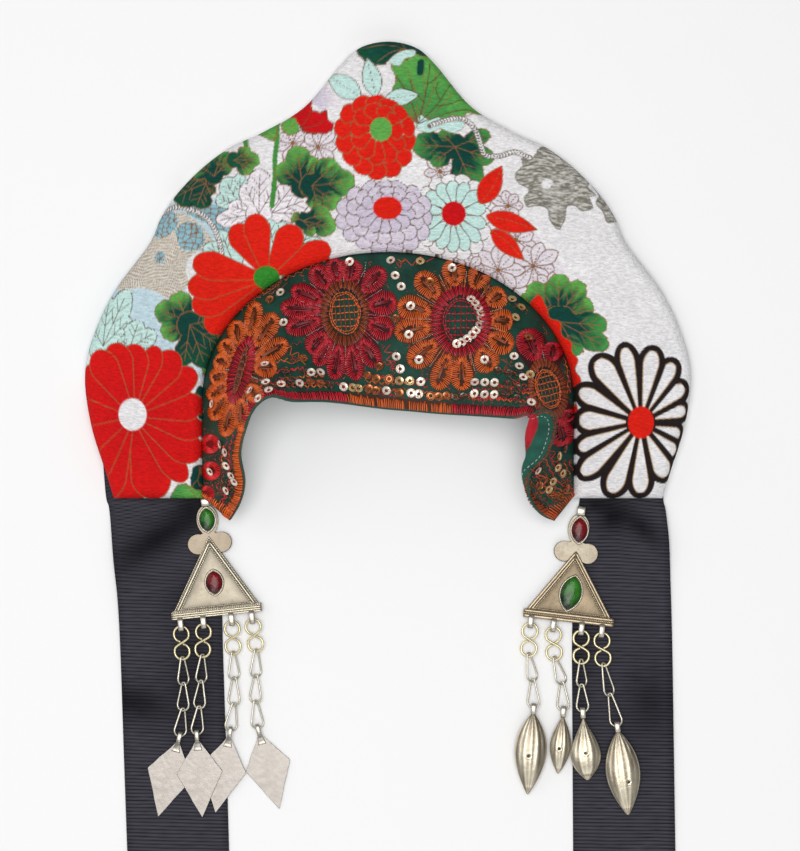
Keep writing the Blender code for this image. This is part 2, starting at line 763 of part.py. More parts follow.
def lying(start, heading, end_z, length, roll=0.0):
    """Where a link lies that is hung from this point, and the wire's centre at its other end."""
    pitch = math.asin((start.z - end_z) / length)
    swing = Matrix.Rotation(math.radians(heading), 4, "Z")
    place = Matrix.Translation(start * MM) @ swing @ Matrix.Rotation(pitch, 4, "X")
    end = place @ Vector((0, -length * MM, 0))
    back = start - end / MM
    return place @ Matrix.Rotation(math.radians(roll), 4, "Y"), end / MM, back.normalized()


def slack(length, wire):
    """How far from the middle of a strap of this length the wire in it lies."""
    return length / 2 - STRAP_WALL - wire / 2 - GAP - STRAP_PLAY


def make_strand(side, number, strand, leaf, place, s_mesh, collection, cutters, silver):
    """A strand: an S link through its strap, teardrop links, and a drop."""
    raised, s_heading, headings, drop_heading, rest, link_length, loose = strand
    strap_y = strap_centre_y(place, raised) - slack(STRAP_LENGTH, S_WIRE)
    start = pendant_matrix(place) @ (Vector((STRAP_OFFSETS[number - 1], strap_y, STRAP_HEIGHT / 2)) * MM) / MM
    half_height = max(leaf[2] if leaf else 0.0, BAIL_HEIGHT / 2)
    fall = (rest + half_height - start.z) / (len(headings) + 1)
    level = start.z + fall
    matrix, end, back = lying(start, s_heading, level, S_LENGTH, S_ROLL)
    s_link = mesh_object(f"s_link_{side}_{number}", s_mesh, collection, silver)
    s_link.matrix_world = matrix
    link_mesh = wire_mesh(link_points(link_length), LINK_WIRE, closed=True)
    hold = (S_WIRE + LINK_WIRE) / 2 + GAP + loose
    for index, heading in enumerate(headings):
        level += fall
        matrix, end, back = lying(end + back * hold, heading, level, link_length, LINK_ROLLS[index])
        link = mesh_object(f"link_{side}_{number}_{index + 1}", link_mesh, collection, silver)
        link.matrix_world = matrix
        hold = LINK_WIRE + GAP
    name = f"drop_{side}_{number}"
    if leaf:
        drop = make_leaf(name, leaf, collection, cutters, silver)
    else:
        drop = make_diamond(name, collection, cutters, silver)
    hung = Vector((0.0, -slack(BAIL_LENGTH, LINK_WIRE), 0.0)) * MM
    turn = Matrix.Rotation(math.radians(drop_heading), 4, "Z")
    drop.matrix_world = Matrix.Translation(end * MM) @ turn @ Matrix.Translation(hung)


def main():
    clear_scene()
    parts = make_collection("kokoshnik")
    cutters = make_collection("cutters")
    materials = make_materials()
    silver = materials["old_silver"]
    make_crest(parts, materials["printed_crepe"])
    make_band(parts, materials["embroidered_cloth"])
    make_ribbon("ribbon_left", RIBBON_LEFT_LEVELS, True, parts, materials["black_grosgrain"])
    make_ribbon("ribbon_right", RIBBON_RIGHT_LEVELS, False, parts, materials["black_grosgrain"])
    s_mesh = wire_mesh(s_link_points(), S_WIRE, closed=False)
    sides = (
        ("left", PENDANT_LEFT, STONES_LEFT, STRANDS_LEFT, (None,) * len(STRANDS_LEFT)),
        ("right", PENDANT_RIGHT, STONES_RIGHT, STRANDS_RIGHT, LEAVES),
    )
    for side, place, stones, strands, leaves in sides:
        raises = [strand[0] for strand in strands]
        make_plate(f"pendant_plate_{side}", place, stones, raises, parts, cutters, silver)
        for where, stone in stones.items():
            make_stone(f"stone_{side}_{where}", place, stone, parts, materials[stone[-1]])
        for number, (strand, leaf) in enumerate(zip(strands, leaves), 1):
            make_strand(side, number, strand, leaf, place, s_mesh, parts, cutters, silver)


main()
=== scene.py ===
"""Kokoshnik: the looks of the printed crest, the embroidered band, the ribbons and the silver pendants.

Sizes are in millimetres in the frame of the CAD part, and MM turns them into metres. The motifs of the
print and of the embroidery are placed in pixels of the photo, and on_photo says at which pixel a point of
the cloth is seen.
"""

import math

import bpy
import numpy as np
from mathutils import Matrix, Vector, kdtree


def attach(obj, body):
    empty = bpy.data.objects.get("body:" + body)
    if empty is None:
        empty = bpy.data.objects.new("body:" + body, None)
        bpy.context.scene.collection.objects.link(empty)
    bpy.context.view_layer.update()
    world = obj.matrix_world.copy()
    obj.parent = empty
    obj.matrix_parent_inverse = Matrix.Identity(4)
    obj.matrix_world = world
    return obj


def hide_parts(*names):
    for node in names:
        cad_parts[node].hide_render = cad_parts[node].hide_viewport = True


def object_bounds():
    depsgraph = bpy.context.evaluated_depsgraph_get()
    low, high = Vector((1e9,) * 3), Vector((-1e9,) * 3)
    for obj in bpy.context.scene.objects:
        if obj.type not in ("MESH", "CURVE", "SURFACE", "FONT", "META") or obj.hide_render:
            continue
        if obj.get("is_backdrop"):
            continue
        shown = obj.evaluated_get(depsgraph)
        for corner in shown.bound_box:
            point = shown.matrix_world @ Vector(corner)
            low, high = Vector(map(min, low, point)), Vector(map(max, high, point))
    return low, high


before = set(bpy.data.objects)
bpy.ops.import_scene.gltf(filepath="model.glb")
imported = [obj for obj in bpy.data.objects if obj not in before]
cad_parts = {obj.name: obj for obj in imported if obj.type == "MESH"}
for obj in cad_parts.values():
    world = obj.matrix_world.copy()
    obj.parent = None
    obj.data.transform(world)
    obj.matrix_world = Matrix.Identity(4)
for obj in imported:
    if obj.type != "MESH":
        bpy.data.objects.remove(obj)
CAD_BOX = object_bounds()

MM = 0.001

# The photo: taken from straight above its middle
PHOTO_WIDTH = 800
PHOTO_HEIGHT = 851
PIXEL = 0.49
CAMERA_X = 5.84
CAMERA_Y = 11.76
CAMERA_HEIGHT = 1500.0
SENSOR = 36.0

# Crest, as in the CAD part
CREST_THICKNESS = 10.0
CREST_CROWN = 2.5
CREST_FOOT_Y = -23.7
ARCH_HALF_WIDTH = 90.5
ARCH_CENTRE_Y = 24.2
ARCH_RISE = 72.2
BACK_OVER_RIBBONS = 1.3
BACK_SLOPE_FROM_Y = 25.0
BACK_SLOPE_TO_Y = 70.0
CREST_OUTLINE = (
    (0.0, 199.2),
    (13.6, 196.2),
    (23.5, 187.5),
    (40.5, 167.5),
    (61.0, 155.0),
    (77.0, 147.6),
    (91.0, 137.2),
    (103.2, 124.6),
    (110.9, 113.0),
    (116.8, 100.0),
    (134.3, 76.2),
    (144.6, 53.0),
    (147.9, 34.5),
    (144.6, 11.0),
    (137.7, -11.0),
    (133.8, -23.7),
)
CREST_STATIONS = 800
CREST_ACROSS = 190
CREST_PIECES = 2
CREST_SURFACE_Z = 11.0
PRINT_TURN = 0.9

# Colours as the eye sees them, 0 to 255
CREPE_WHITE = (233, 231, 233)
SCARLET = (222, 32, 18)
CRIMSON = (200, 16, 22)
DARK_GREEN = (14, 66, 58)
DEEP_GREEN = (22, 84, 60)
LEAF_WHITE = (238, 232, 238)
MID_GREEN = (70, 146, 74)
LIGHT_GREEN = (98, 170, 78)
AQUA = (196, 228, 222)
PALE_BLUE = (193, 216, 226)
MID_BLUE = (138, 188, 203)
LILAC = (206, 196, 214)
PALE_LILAC = (226, 219, 226)
FOIL_DARK = (126, 122, 112)
FOIL_BRIGHT = (206, 203, 196)
SAND = (220, 213, 203)
GOLD_LINE = (142, 98, 58)
BROWN_LINE = (96, 68, 48)
PALE_GOLD_LINE = (186, 150, 104)
STAR_LINE = (128, 88, 68)
ROPE_LINE = (112, 102, 88)
BLACK_LINE = (36, 28, 28)
SAND_LINE = (168, 156, 138)
STEM_GREEN = (70, 142, 62)
HUB_GREEN = (52, 138, 46)
FULL_CRIMSON = (212, 22, 20)

# The print, in pixels: how softly an edge ends, and how leaves wobble, spread and are veined
PRINT_SOFT = 0.8
RIM_WOBBLE = 2.7
LEAF_MARGIN = 16
LOBE_WIDEST = 0.55
LEAF_HEART = 0.36
VEIN_WIDTH = 0.75
VEIN_REACH = 0.86
SIDE_VEIN_WIDTH = 0.6
SIDE_VEIN_STARTS = (0.4, 0.6)
SIDE_VEIN_SPREAD = 0.55
HATCH_PITCH = 3.0
ROPE_HALF_WIDTH = 2.4
ROPE_TWIST = 3.0
STEM_WIDTH = 5.0
BRUSH_LINE = 5.2
FAR = 1e9


def rgb(colour):
    """Linear colour from one as the eye sees it."""
    share = np.asarray(colour, float) / 255
    return np.where(share <= 0.04045, share / 12.92, ((share + 0.055) / 1.055) ** 2.4)


def mixed(colours, share):
    """Linear colours from the first to the last of these, by a share for each point."""
    share = np.asarray(share)[..., None]
    return rgb(colours[0]) * (1 - share) + rgb(colours[-1]) * share


def unit(vectors, least=0.0):
    """Vectors at length 1."""
    return vectors / (np.linalg.norm(vectors, axis=-1, keepdims=True) + least)


def smooth(rows, steps):
    """Points on a Catmull-Rom curve through the rows, with this many steps between two rows."""
    rows = np.asarray(rows, float)
    before = 2 * rows[0] - rows[1]
    after = 2 * rows[-1] - rows[-2]
    padded = np.vstack([before, rows, after])
    return curve_through(padded, steps, rows[-1])


def smooth_ring(rows, steps):
    """Points on a closed Catmull-Rom curve through the rows."""
    rows = np.asarray(rows, float)
    padded = np.vstack([rows[-1], rows, rows[0], rows[1]])
    return curve_through(padded, steps, rows[0])[:-1]


def curve_through(padded, steps, last):
    """Points on the curve through rows that have one more row before and after them."""
    t = (np.arange(steps) / steps)[:, None]
    weights = (-t + 2 * t**2 - t**3, 2 - 5 * t**2 + 3 * t**3, t + 4 * t**2 - 3 * t**3, t**3 - t**2)
    parts = []
    for first in range(len(padded) - 3):
        parts.append(sum(w * v for w, v in zip(weights, padded[first : first + 4])) / 2)
    return np.vstack([*parts, last])


def lengths_along(points):
    """The distance of each point from the first, along the line."""
    steps = np.linalg.norm(np.diff(points, axis=0), axis=1)
    return np.concatenate([[0.0], np.cumsum(steps)])


def points_along(points, distances):
    """The points of a line at these distances from its start."""
    lengths = lengths_along(points)
    return np.stack([np.interp(distances, lengths, column) for column in np.asarray(points).T], axis=1)


def on_photo(points):
    """Pixels of the photo where points in millimetres are seen."""
    scale = CAMERA_HEIGHT / (PIXEL * (CAMERA_HEIGHT - points[..., 2]))
    x = PHOTO_WIDTH / 2 + (points[..., 0] - CAMERA_X) * scale
    y = PHOTO_HEIGHT / 2 - (points[..., 1] - CAMERA_Y) * scale
    return np.stack([x, y], axis=-1)


def noise(x, y, seed):
    """Smooth noise from -1 to 1 with bumps about one unit wide."""
    table = np.random.RandomState(seed).rand(256, 256) * 2 - 1
    left = np.floor(x).astype(int)
    low = np.floor(y).astype(int)
    u = x - left
    v = y - low
    u = u * u * (3 - 2 * u)
    v = v * v * (3 - 2 * v)

    def at(a, b):
        return table[(left + a) % 256, (low + b) % 256]

    lower = at(0, 0) * (1 - u) + at(1, 0) * u
    upper = at(0, 1) * (1 - u) + at(1, 1) * u
    return lower * (1 - v) + upper * v


def make_mesh(name, points, faces, material, colours=None):
    """A smooth object from points in millimetres and faces that all have the same number of corners."""
    points = np.asarray(points, float).reshape(-1, 3)
    faces = np.asarray(faces, np.int32)
    corners = faces.shape[1]
    mesh = bpy.data.meshes.new(name)
    mesh.vertices.add(len(points))
    mesh.vertices.foreach_set("co", (points * MM).ravel())
    mesh.loops.add(faces.size)
    mesh.loops.foreach_set("vertex_index", faces.ravel())
    mesh.polygons.add(len(faces))
    mesh.polygons.foreach_set("loop_start", np.arange(0, faces.size, corners, dtype=np.int32))
    mesh.update(calc_edges=True)
    mesh.shade_smooth()
    if colours is not None:
        painted = mesh.color_attributes.new("paint", "FLOAT_COLOR", "POINT")
        painted.data.foreach_set("color", np.column_stack([colours, np.ones(len(points))]).ravel())
    mesh.materials.append(material)
    made = bpy.data.objects.new(name, mesh)
    bpy.context.scene.collection.objects.link(made)
    return made


def grid_faces(rows, columns, ring=False):
    """Quads between the points of a grid, whose rows may each close to a ring."""
    index = np.arange(rows * columns, dtype=np.int32).reshape(rows, columns)
    if ring:
        index = np.hstack([index, index[:, :1]])
    quads = (index[:-1, :-1], index[1:, :-1], index[1:, 1:], index[:-1, 1:])
    return np.stack(quads, axis=-1).reshape(-1, 4)


def end_faces(count, start, first):
    """Quads that shut the first or the last ring of a grid, between its points there and back."""
    index = np.arange(count // 2 - 1)
    quads = np.column_stack([index, index + 1, count - 2 - index, count - 1 - index]) + start
    return quads if first else quads[:, ::-1]


class Cloth:
    """Colours for points of a cloth, laid motif by motif in pixels of the photo."""

    def __init__(self, places, ground):
        self.places = places
        self.colours = np.tile(rgb(ground), (len(places), 1))

    def near(self, points, margin):
        """The cloth's points around these, by number, and where they are."""
        low = np.min(points, axis=0) - margin
        high = np.max(points, axis=0) + margin
        index = np.nonzero(np.all((self.places > low) & (self.places < high), axis=1))[0]
        return index, self.places[index]

    def lay(self, index, cover, colour):
        """A colour over what is there, by how much of each point it covers."""
        cover = np.clip(cover, 0, 1)[:, None]
        self.colours[index] = self.colours[index] * (1 - cover) + colour * cover

    def fill(self, index, distance, colour):
        """A colour wherever the distance is below 0."""
        self.lay(index, 0.5 - distance / PRINT_SOFT, colour)

    def draw(self, index, distance, width, colour, along=None, dash=0.0):
        """A line where the distance is near 0, dashed if a dash length is given."""
        cover = np.clip((width / 2 - np.abs(distance)) / PRINT_SOFT + 0.5, 0, 1)
        if dash:
            cover = cover * np.clip(2 + 4 * np.sin(along * 2 * math.pi / dash), 0, 1)
        self.lay(index, cover, rgb(colour))

    def line(self, points, width, colour, dash=0.0):
        """A smooth line through points."""
        points = smooth(points, 6) if len(points) > 2 else np.asarray(points, float)
        index, places = self.near(points, width + 2)
        distance, along = line_distance(places, points)
        self.draw(index, distance, width, colour, along, dash)

    def oval(self, centre, radii, colour):
        index, places = self.near(np.array([centre]), max(radii) + 3)
        share = np.linalg.norm((places - centre) / radii, axis=1)
        self.fill(index, (share - 1) * min(radii), rgb(colour))

    def petal(self, base, tip, half_width, colours, line=None, width=0.9, widest=0.68, pointed=False):
        """A petal from its base to its tip, shaded from its first colour to its last."""
        index, places = self.near(np.array([base, tip], float), half_width + 3)
        t, distance = petal_distance(places, base, tip, half_width, widest, pointed)
        self.fill(index, distance, mixed(colours, np.clip(t, 0, 1)))
        if line:
            self.draw(index, distance, width, line)

    def lobes(self, root, lobes, colours, line):
        """A leaf of round lobes that spread from its root, streaked from its first colour to its last."""
        root = np.asarray(root, float)
        tips = np.array([lobe[:2] for lobe in lobes], float)
        index, places = self.near(np.vstack([root, tips]), LEAF_MARGIN)
        share = np.zeros(len(places))
        distance = np.full(len(places), FAR)
        for x, y, half_width in lobes:
            t, away = petal_distance(places, root, (x, y), half_width, LOBE_WIDEST, False)
            share = np.where(away < distance, t, share)
            distance = np.minimum(distance, away)
        out = places - root
        away = np.linalg.norm(out, axis=1)
        heart = LEAF_HEART * np.linalg.norm(tips - root, axis=1).mean()
        distance = np.minimum(distance, away - heart) + 0.8 * rim_wobble(places)
        streak = 0.35 * noise(np.arctan2(out[:, 1], out[:, 0]) * 7, away / 9, 5)
        self.fill(index, distance, mixed(colours, np.clip(2.2 * share - 1.0 + streak, 0, 1)))
        for tip, lobe in zip(tips, lobes):
            self.veins(root, tip - root, lobe[2], line)
        self.draw(index, distance, 0.9, line)

    def veins(self, root, axis, half_width, colour):
        """A lobe's vein along its axis, with two pairs of side veins."""
        sideways = np.array([-axis[1], axis[0]]) / np.linalg.norm(axis) * half_width
        self.line([root, root + axis * VEIN_REACH], VEIN_WIDTH, colour)
        for start in SIDE_VEIN_STARTS:
            for side in (-SIDE_VEIN_SPREAD, SIDE_VEIN_SPREAD):
                first = root + axis * start
                self.line([first, first + axis * 0.2 + sideways * side], SIDE_VEIN_WIDTH, colour)

    def patch(self, outline, colour, line=None, width=0.9):
        """A shape in one colour."""
        return self.blob(outline, (colour, colour), outline[0], line, width)

    def blob(self, outline, colours, root, line=None, width=0.9, veins=0, vein_line=None):
        """A smooth shape, shaded from the first colour at its root to the last at its rim."""
        outline = np.asarray(outline, float)
        ring = smooth_ring(outline, 5)
        index, places = self.near(ring, 3)
        distance = ring_distance(places, ring)
        if veins:
            distance = distance + 0.9 * rim_wobble(places)
        root = np.asarray(root, float)
        reach = np.linalg.norm(outline - root, axis=1).max()
        shade = np.linalg.norm(places - root, axis=1) / reach * 1.5 - 0.45
        shade = np.clip(shade + 0.3 * noise(places[:, 0] / 5, places[:, 1] / 2, 5), 0, 1)
        self.fill(index, distance, mixed(colours, shade))
        if veins:
            for corner in outline[::veins]:
                end = root + (corner - root) * VEIN_REACH
                middle = (root + end) / 2 + np.array([root[1] - end[1], end[0] - root[0]]) * 0.08
                self.line([root, middle, end], VEIN_WIDTH, vein_line or line)
        if line:
            self.draw(index, distance, width, line)
        return index, places, distance


def rim_wobble(places):
    """How a leaf's rim wanders, as noise from -1 to 1."""
    return noise(places[:, 0] / RIM_WOBBLE, places[:, 1] / RIM_WOBBLE, 6)


def petal_distance(places, base, tip, half_width, widest, pointed):
    """How far along a petal places are, as a share, and their distance from its rim, negative inside."""
    base = np.asarray(base, float)
    axis = np.asarray(tip, float) - base
    length = np.linalg.norm(axis)
    t = (places - base) @ axis / length**2
    aside = (places - base) @ np.array([-axis[1], axis[0]]) / length
    profile = petal_profile(t, widest, pointed) * half_width
    step = 0.01
    slope = (petal_profile(t + step, widest, pointed) * half_width - profile) / (step * length)
    distance = (np.abs(aside) - profile) / np.sqrt(1 + np.clip(slope, -8, 8) ** 2)
    return t, np.where((t < 0) | (t > 1), np.maximum(distance, 1.5), distance)


def petal_profile(t, widest, pointed):
    """Half width along a petal: round at its tip, or pointed at both ends."""
    t = np.clip(t, 1e-6, 1 - 1e-6)
    if pointed:
        return np.sin(math.pi * t ** (math.log(0.5) / math.log(widest))) ** 0.9
    wedge = 0.1 + 0.9 * (t / widest) ** 0.9
    tip = np.sqrt(np.clip(1 - ((t - widest) / (1 - widest)) ** 2, 0, 1))
    return np.where(t < widest, wedge, tip)


def line_distance(places, points):
    """Distance of places from a line, and how far along it the nearest point is."""
    best = np.full(len(places), FAR)
    along = np.zeros(len(places))
    start = 0.0
    for a, b in zip(points, points[1:]):
        edge = b - a
        length = max(np.linalg.norm(edge), 1e-9)
        t = np.clip((places - a) @ edge / length**2, 0, 1)
        distance = np.linalg.norm(places - a - t[:, None] * edge, axis=1)
        nearer = distance < best
        best = np.where(nearer, distance, best)
        along = np.where(nearer, start + t * length, along)
        start += length
    return best, along


def ring_distance(places, ring):
    """Distance of places from a closed outline, negative inside it."""
    distance, _ = line_distance(places, np.vstack([ring, ring[:1]]))
    inside = np.zeros(len(places), bool)
    x, y = places[:, 0], places[:, 1]
    for (ax, ay), (bx, by) in zip(ring, np.roll(ring, -1, axis=0)):
        crosses = (ay > y) != (by > y)
        with np.errstate(divide="ignore", invalid="ignore"):
            at = (bx - ax) * (y - ay) / (by - ay) + ax
        inside ^= crosses & (x < at)
    return np.where(inside, -distance, distance)


# Open flowers of broad petals. Petals: tip x, tip y, half width, from the back to the front
SCARLET_FLOWER = {
    "centre": (266.5, 277.5),
    "oval": (13.0, 11.5),
    "core": HUB_GREEN,
    "colours": (SCARLET, SCARLET),
    "petals": (
        (330, 246, 12),
        (297, 226, 13),
        (222, 352, 12),
        (234, 345, 10),
        (207, 331, 14),
        (193, 309, 14),
        (188, 288, 13),
        (193, 262, 13),
        (234, 225, 12),
        (254, 214, 12),
    ),
}
CRIMSON_FLOWER = {
    "centre": (133.0, 414.5),
    "oval": (14.0, 16.0),
    "core": CREPE_WHITE,
    "colours": (CRIMSON, FULL_CRIMSON),
    "petals": (
        (127, 508, 17),
        (158, 499, 18),
        (186, 481, 11),
        (201, 457, 15),
        (204, 431, 12),
        (204, 404, 13),
        (196, 371, 13),
        (177, 352, 14),
        (157, 346, 10),
        (135, 344, 13),
        (114, 343, 13),
        (100, 500, 16),
        (80, 474, 19),
        (70, 440, 19),
        (70, 404, 18),
        (79, 370, 16),
        (95, 351, 13),
    ),
}
# Flowers of small petals in rows. Rows: petals, outer radius, inner radius and half width as shares of the
# extents, colours
SCALE_FLOWERS = {
    "scarlet": {
        "centre": (381.0, 129.5),
        "extents": (335.0, 94.0, 415.0, 180.0),
        "turn": 12.0,
        "oval": (11.0, 12.0),
        "core": LIGHT_GREEN,
        "line": GOLD_LINE,
        "rows": ((14, 1.0, 0.5, 0.25, (SCARLET, SCARLET)), (11, 0.7, 0.2, 0.215, (SCARLET, SCARLET))),
    },
    "lilac": {
        "centre": (387.5, 208.0),
        "extents": (337.0, 179.5, 432.0, 256.0),
        "turn": 4.0,
        "oval": (14.5, 11.5),
        "core": SCARLET,
        "line": BROWN_LINE,
        "rows": (
            (15, 1.0, 0.5, 0.215, (PALE_LILAC, LILAC)),
            (14, 0.8, 0.38, 0.19, (PALE_LILAC, LILAC)),
            (12, 0.58, 0.2, 0.15, (LILAC, LILAC)),
        ),
    },
    "aqua": {
        "centre": (453.7, 213.7),
        "extents": (414.0, 172.0, 491.0, 262.0),
        "turn": 0.0,
        "oval": (12.0, 12.0),
        "core": CRIMSON,
        "line": BROWN_LINE,
        "rows": ((15, 1.0, 0.6, 0.2, (CREPE_WHITE, CREPE_WHITE)), (14, 0.84, 0.22, 0.165, (AQUA, AQUA))),
    },
}
# The daisy drawn with a brush. Petals: tip x, tip y, half width
BRUSH_DAISY = {
    "centre": (640.5, 422.5),
    "oval": (13.0, 16.0),
    "petals": (
        (574, 388, 13),
        (573, 420, 14),
        (573, 451, 12),
        (577, 478, 13),
        (692, 408, 11),
        (688, 382, 12),
        (686, 437, 11),
        (680, 458, 12),
        (676, 358, 12),
        (608, 498, 14),
        (640, 499, 13),
        (669, 482, 14),
        (594, 355, 15),
        (623, 342, 12),
        (654, 345, 13),
    ),
}
# Small outlined flowers. Rows: centre x, y, radius, petals, turn
STAR_FLOWERS = (
    (293, 143, 21, 7, 10),
    (318, 147, 24, 8, 0),
    (440, 172, 18, 7, 20),
    (508, 206, 20, 7, 0),
    (516, 240, 25, 8, 25),
    (533, 266, 29, 9, 10),
    (498, 270, 27, 8, 0),
    (552, 288, 20, 7, 15),
    (470, 268, 20, 7, 5),
)
# Pointed leaves. Rows: base, tip, half width, and for the red ones which way they bend
RED_LEAVES = (
    ((480, 204), (502, 166), 11, (8, 4)),
    ((486, 216), (537, 230), 10, (2, -5)),
    ((491, 230), (524, 260), 9, (4, -4)),
)
AQUA_LEAVES = (
    ((361, 98), (327, 74), 11),
    ((376, 97), (367, 58), 9.5),
    ((385, 99), (419, 95), 8.5),
)
# Leaves with outlines of their own. Rows: outline, colours from root to rim, root, line
LEAVES = (
    (
        (
            (356, 47), (368, 36), (392, 30), (418, 42), (432, 58), (412, 60), (392, 58), (385, 64),
            (373, 64), (362, 58),
        ),
        (DARK_GREEN, DEEP_GREEN),
        (405, 48),
        GOLD_LINE,
    ),
    (
        (
            (391, 66), (397, 58), (406, 60), (413, 53), (424, 56), (431, 52), (440, 62), (452, 76),
            (458, 88), (468, 97), (482, 112), (470, 113), (460, 117), (451, 115), (446, 123), (438, 119),
            (430, 125), (419, 121), (411, 122), (406, 112), (398, 106), (401, 96), (392, 90), (396, 80),
        ),
        (MID_GREEN, LIGHT_GREEN),
        (416, 124),
        GOLD_LINE,
    ),
    (
        ((258, 131), (266, 124), (277, 122), (277, 132), (274, 141), (266, 138)),
        (LIGHT_GREEN, MID_GREEN),
        (274, 139),
        GOLD_LINE,
    ),
    (
        ((282, 121), (290, 115), (297, 122), (299, 131), (290, 135), (283, 131)),
        (LIGHT_GREEN, LIGHT_GREEN),
        (284, 131),
        GOLD_LINE,
    ),
    (
        ((203, 376), (203, 362), (209, 354), (217, 351), (216, 366), (209, 380), (204, 384)),
        (LIGHT_GREEN, MID_GREEN),
        (206, 378),
        GOLD_LINE,
    ),
    (
        ((195, 392), (203, 386), (210, 395), (209, 408), (203, 420), (197, 412)),
        (DARK_GREEN, DARK_GREEN),
        (203, 400),
        None,
    ),
    (
        ((191, 489), (192, 470), (200, 464), (207, 472), (207, 495), (195, 496)),
        (DARK_GREEN, DARK_GREEN),
        (198, 480),
        None,
    ),
    (
        ((170, 503), (176, 487), (186, 484), (196, 490), (206, 492), (208, 506), (185, 508)),
        (LIGHT_GREEN, MID_GREEN),
        (196, 500),
        GOLD_LINE,
    ),
)
BUTTONHOLE = ((418, 61), (424, 60), (423, 74), (417, 74))
FOIL_HOLE = ((541, 185), (546, 179), (553, 182), (548, 189))
# Lobed leaves. Rows: root, lobes (tip x, tip y, half width), colours from root to rim
LOBED_LEAVES = (
    (
        (455, 147),
        ((490, 133, 9), (494, 160, 11), (413, 145, 15), (431, 164, 10), (475, 189, 17), (440, 131, 9)),
        (DARK_GREEN, MID_GREEN),
    ),
    ((206, 183), ((172, 197, 17), (196, 208, 13), (186, 176, 15), (211, 196, 8)), (DARK_GREEN, DEEP_GREEN)),
    ((214, 176), ((196, 162, 14), (224, 149, 14), (230, 161, 9)), (DARK_GREEN, MID_GREEN)),
    ((234, 160), ((260, 160, 9), (251, 150, 8), (253, 171, 9)), (DEEP_GREEN, LIGHT_GREEN)),
    ((303, 186), ((278, 165, 13), (296, 146, 14), (317, 158, 11)), (DARK_GREEN, LIGHT_GREEN)),
    (
        (312, 186),
        ((337, 162, 14), (355, 181, 15), (339, 206, 13), (320, 209, 11)),
        (DARK_GREEN, LIGHT_GREEN),
    ),
    ((303, 221), ((292, 216, 6), (330, 211, 10), (336, 228, 11), (316, 233, 9)), (DARK_GREEN, LIGHT_GREEN)),
    ((188, 322), ((156, 307, 13), (176, 293, 13), (162, 335, 12)), (DARK_GREEN, LIGHT_GREEN)),
    (
        (190, 325),
        ((210, 320, 12), (222, 348, 14), (206, 368, 13), (184, 366, 11)),
        (DARK_GREEN, DEEP_GREEN),
    ),
    ((552, 316), ((516, 300, 13), (531, 283, 13)), (DARK_GREEN, LIGHT_GREEN)),
    ((558, 318), ((559, 274, 14), (582, 282, 13), (593, 304, 13)), (DARK_GREEN, LIGHT_GREEN)),
    ((560, 322), ((607, 326, 13), (608, 348, 12), (579, 355, 12)), (DARK_GREEN, MID_GREEN)),
)
PALE_LEAVES = (
    ((240, 206), ((216, 198, 8), (224, 178, 11), (240, 174, 9)), (AQUA, AQUA)),
    ((254, 214), ((216, 221, 9), (229, 205, 9)), (LEAF_WHITE, LEAF_WHITE)),
    ((272, 213), ((293, 186, 12), (309, 199, 12), (302, 214, 9)), (LEAF_WHITE, LEAF_WHITE)),
    ((259, 214), ((244, 184, 10), (260, 169, 13), (275, 188, 10)), (LEAF_WHITE, LEAF_WHITE)),
    ((274, 250), ((269, 219, 8), (285, 222, 9)), (AQUA, AQUA)),
    ((300, 252), ((308, 232, 7), (322, 240, 8)), (AQUA, AQUA)),
    ((232, 260), ((204, 246, 10), (221, 231, 9)), (AQUA, AQUA)),
    ((103, 346), ((89, 322, 10), (108, 296, 13), (128, 290, 12), (131, 318, 12)), (AQUA, AQUA)),
    ((130, 348), ((120, 338, 8), (139, 321, 11), (156, 332, 10)), (AQUA, AQUA)),
)
BLUE_GROUND = (
    (140, 222), (168, 203), (215, 198), (252, 214), (264, 236), (232, 246), (192, 256), (186, 285),
    (192, 300), (220, 350), (206, 380), (150, 350), (95, 352), (66, 352), (72, 318), (96, 278), (124, 246),
)
WAVES = (
    (146, 232), (162, 214), (183, 213), (200, 224), (213, 240), (224, 256), (205, 250), (190, 258),
    (186, 268), (189, 285), (180, 292), (168, 298), (155, 292), (140, 288), (118, 290), (118, 272),
    (132, 250),
)
# Patches of small cells. Rows: outline, distance between cells, seed
CELL_PATCHES = (
    (((148, 226), (158, 213), (172, 211), (178, 222), (170, 234), (158, 238)), 6.0, 1),
    (((176, 230), (186, 222), (200, 226), (205, 240), (198, 250), (184, 250), (178, 242)), 6.0, 2),
    (((186, 212), (200, 205), (222, 206), (236, 214), (238, 226), (222, 232), (208, 224)), 7.0, 3),
    (((155, 256), (160, 251), (165, 256), (162, 263), (156, 262)), 6.0, 4),
)
STAR_GROUND = (
    (476, 268), (486, 244), (500, 232), (516, 236), (532, 230), (546, 248), (560, 262), (564, 276),
    (548, 288), (530, 286), (512, 292), (494, 282),
)
BIG_LEAF_RIMS = (
    ((389, 62), (394, 55), (404, 50), (415, 49), (414, 56), (405, 59), (399, 66)),
    (
        (420, 115), (429, 120), (438, 117), (446, 122), (456, 116), (464, 119), (463, 128), (452, 133),
        (440, 129), (428, 133), (417, 128),
    ),
    ((403, 116), (411, 119), (417, 126), (409, 133), (404, 126)),
)
BIG_LEAF_VEINS = (
    ((418, 124), (412, 104), (404, 88), (396, 76)),
    ((418, 124), (424, 102), (428, 80), (430, 64)),
    ((418, 124), (436, 106), (448, 88), (455, 76)),
    ((418, 124), (440, 116), (460, 110), (478, 111)),
    ((424, 102), (414, 92), (410, 80)),
    ((436, 106), (450, 104), (464, 98)),
    ((428, 84), (438, 76), (444, 66)),
    ((440, 100), (436, 90), (438, 82)),
)
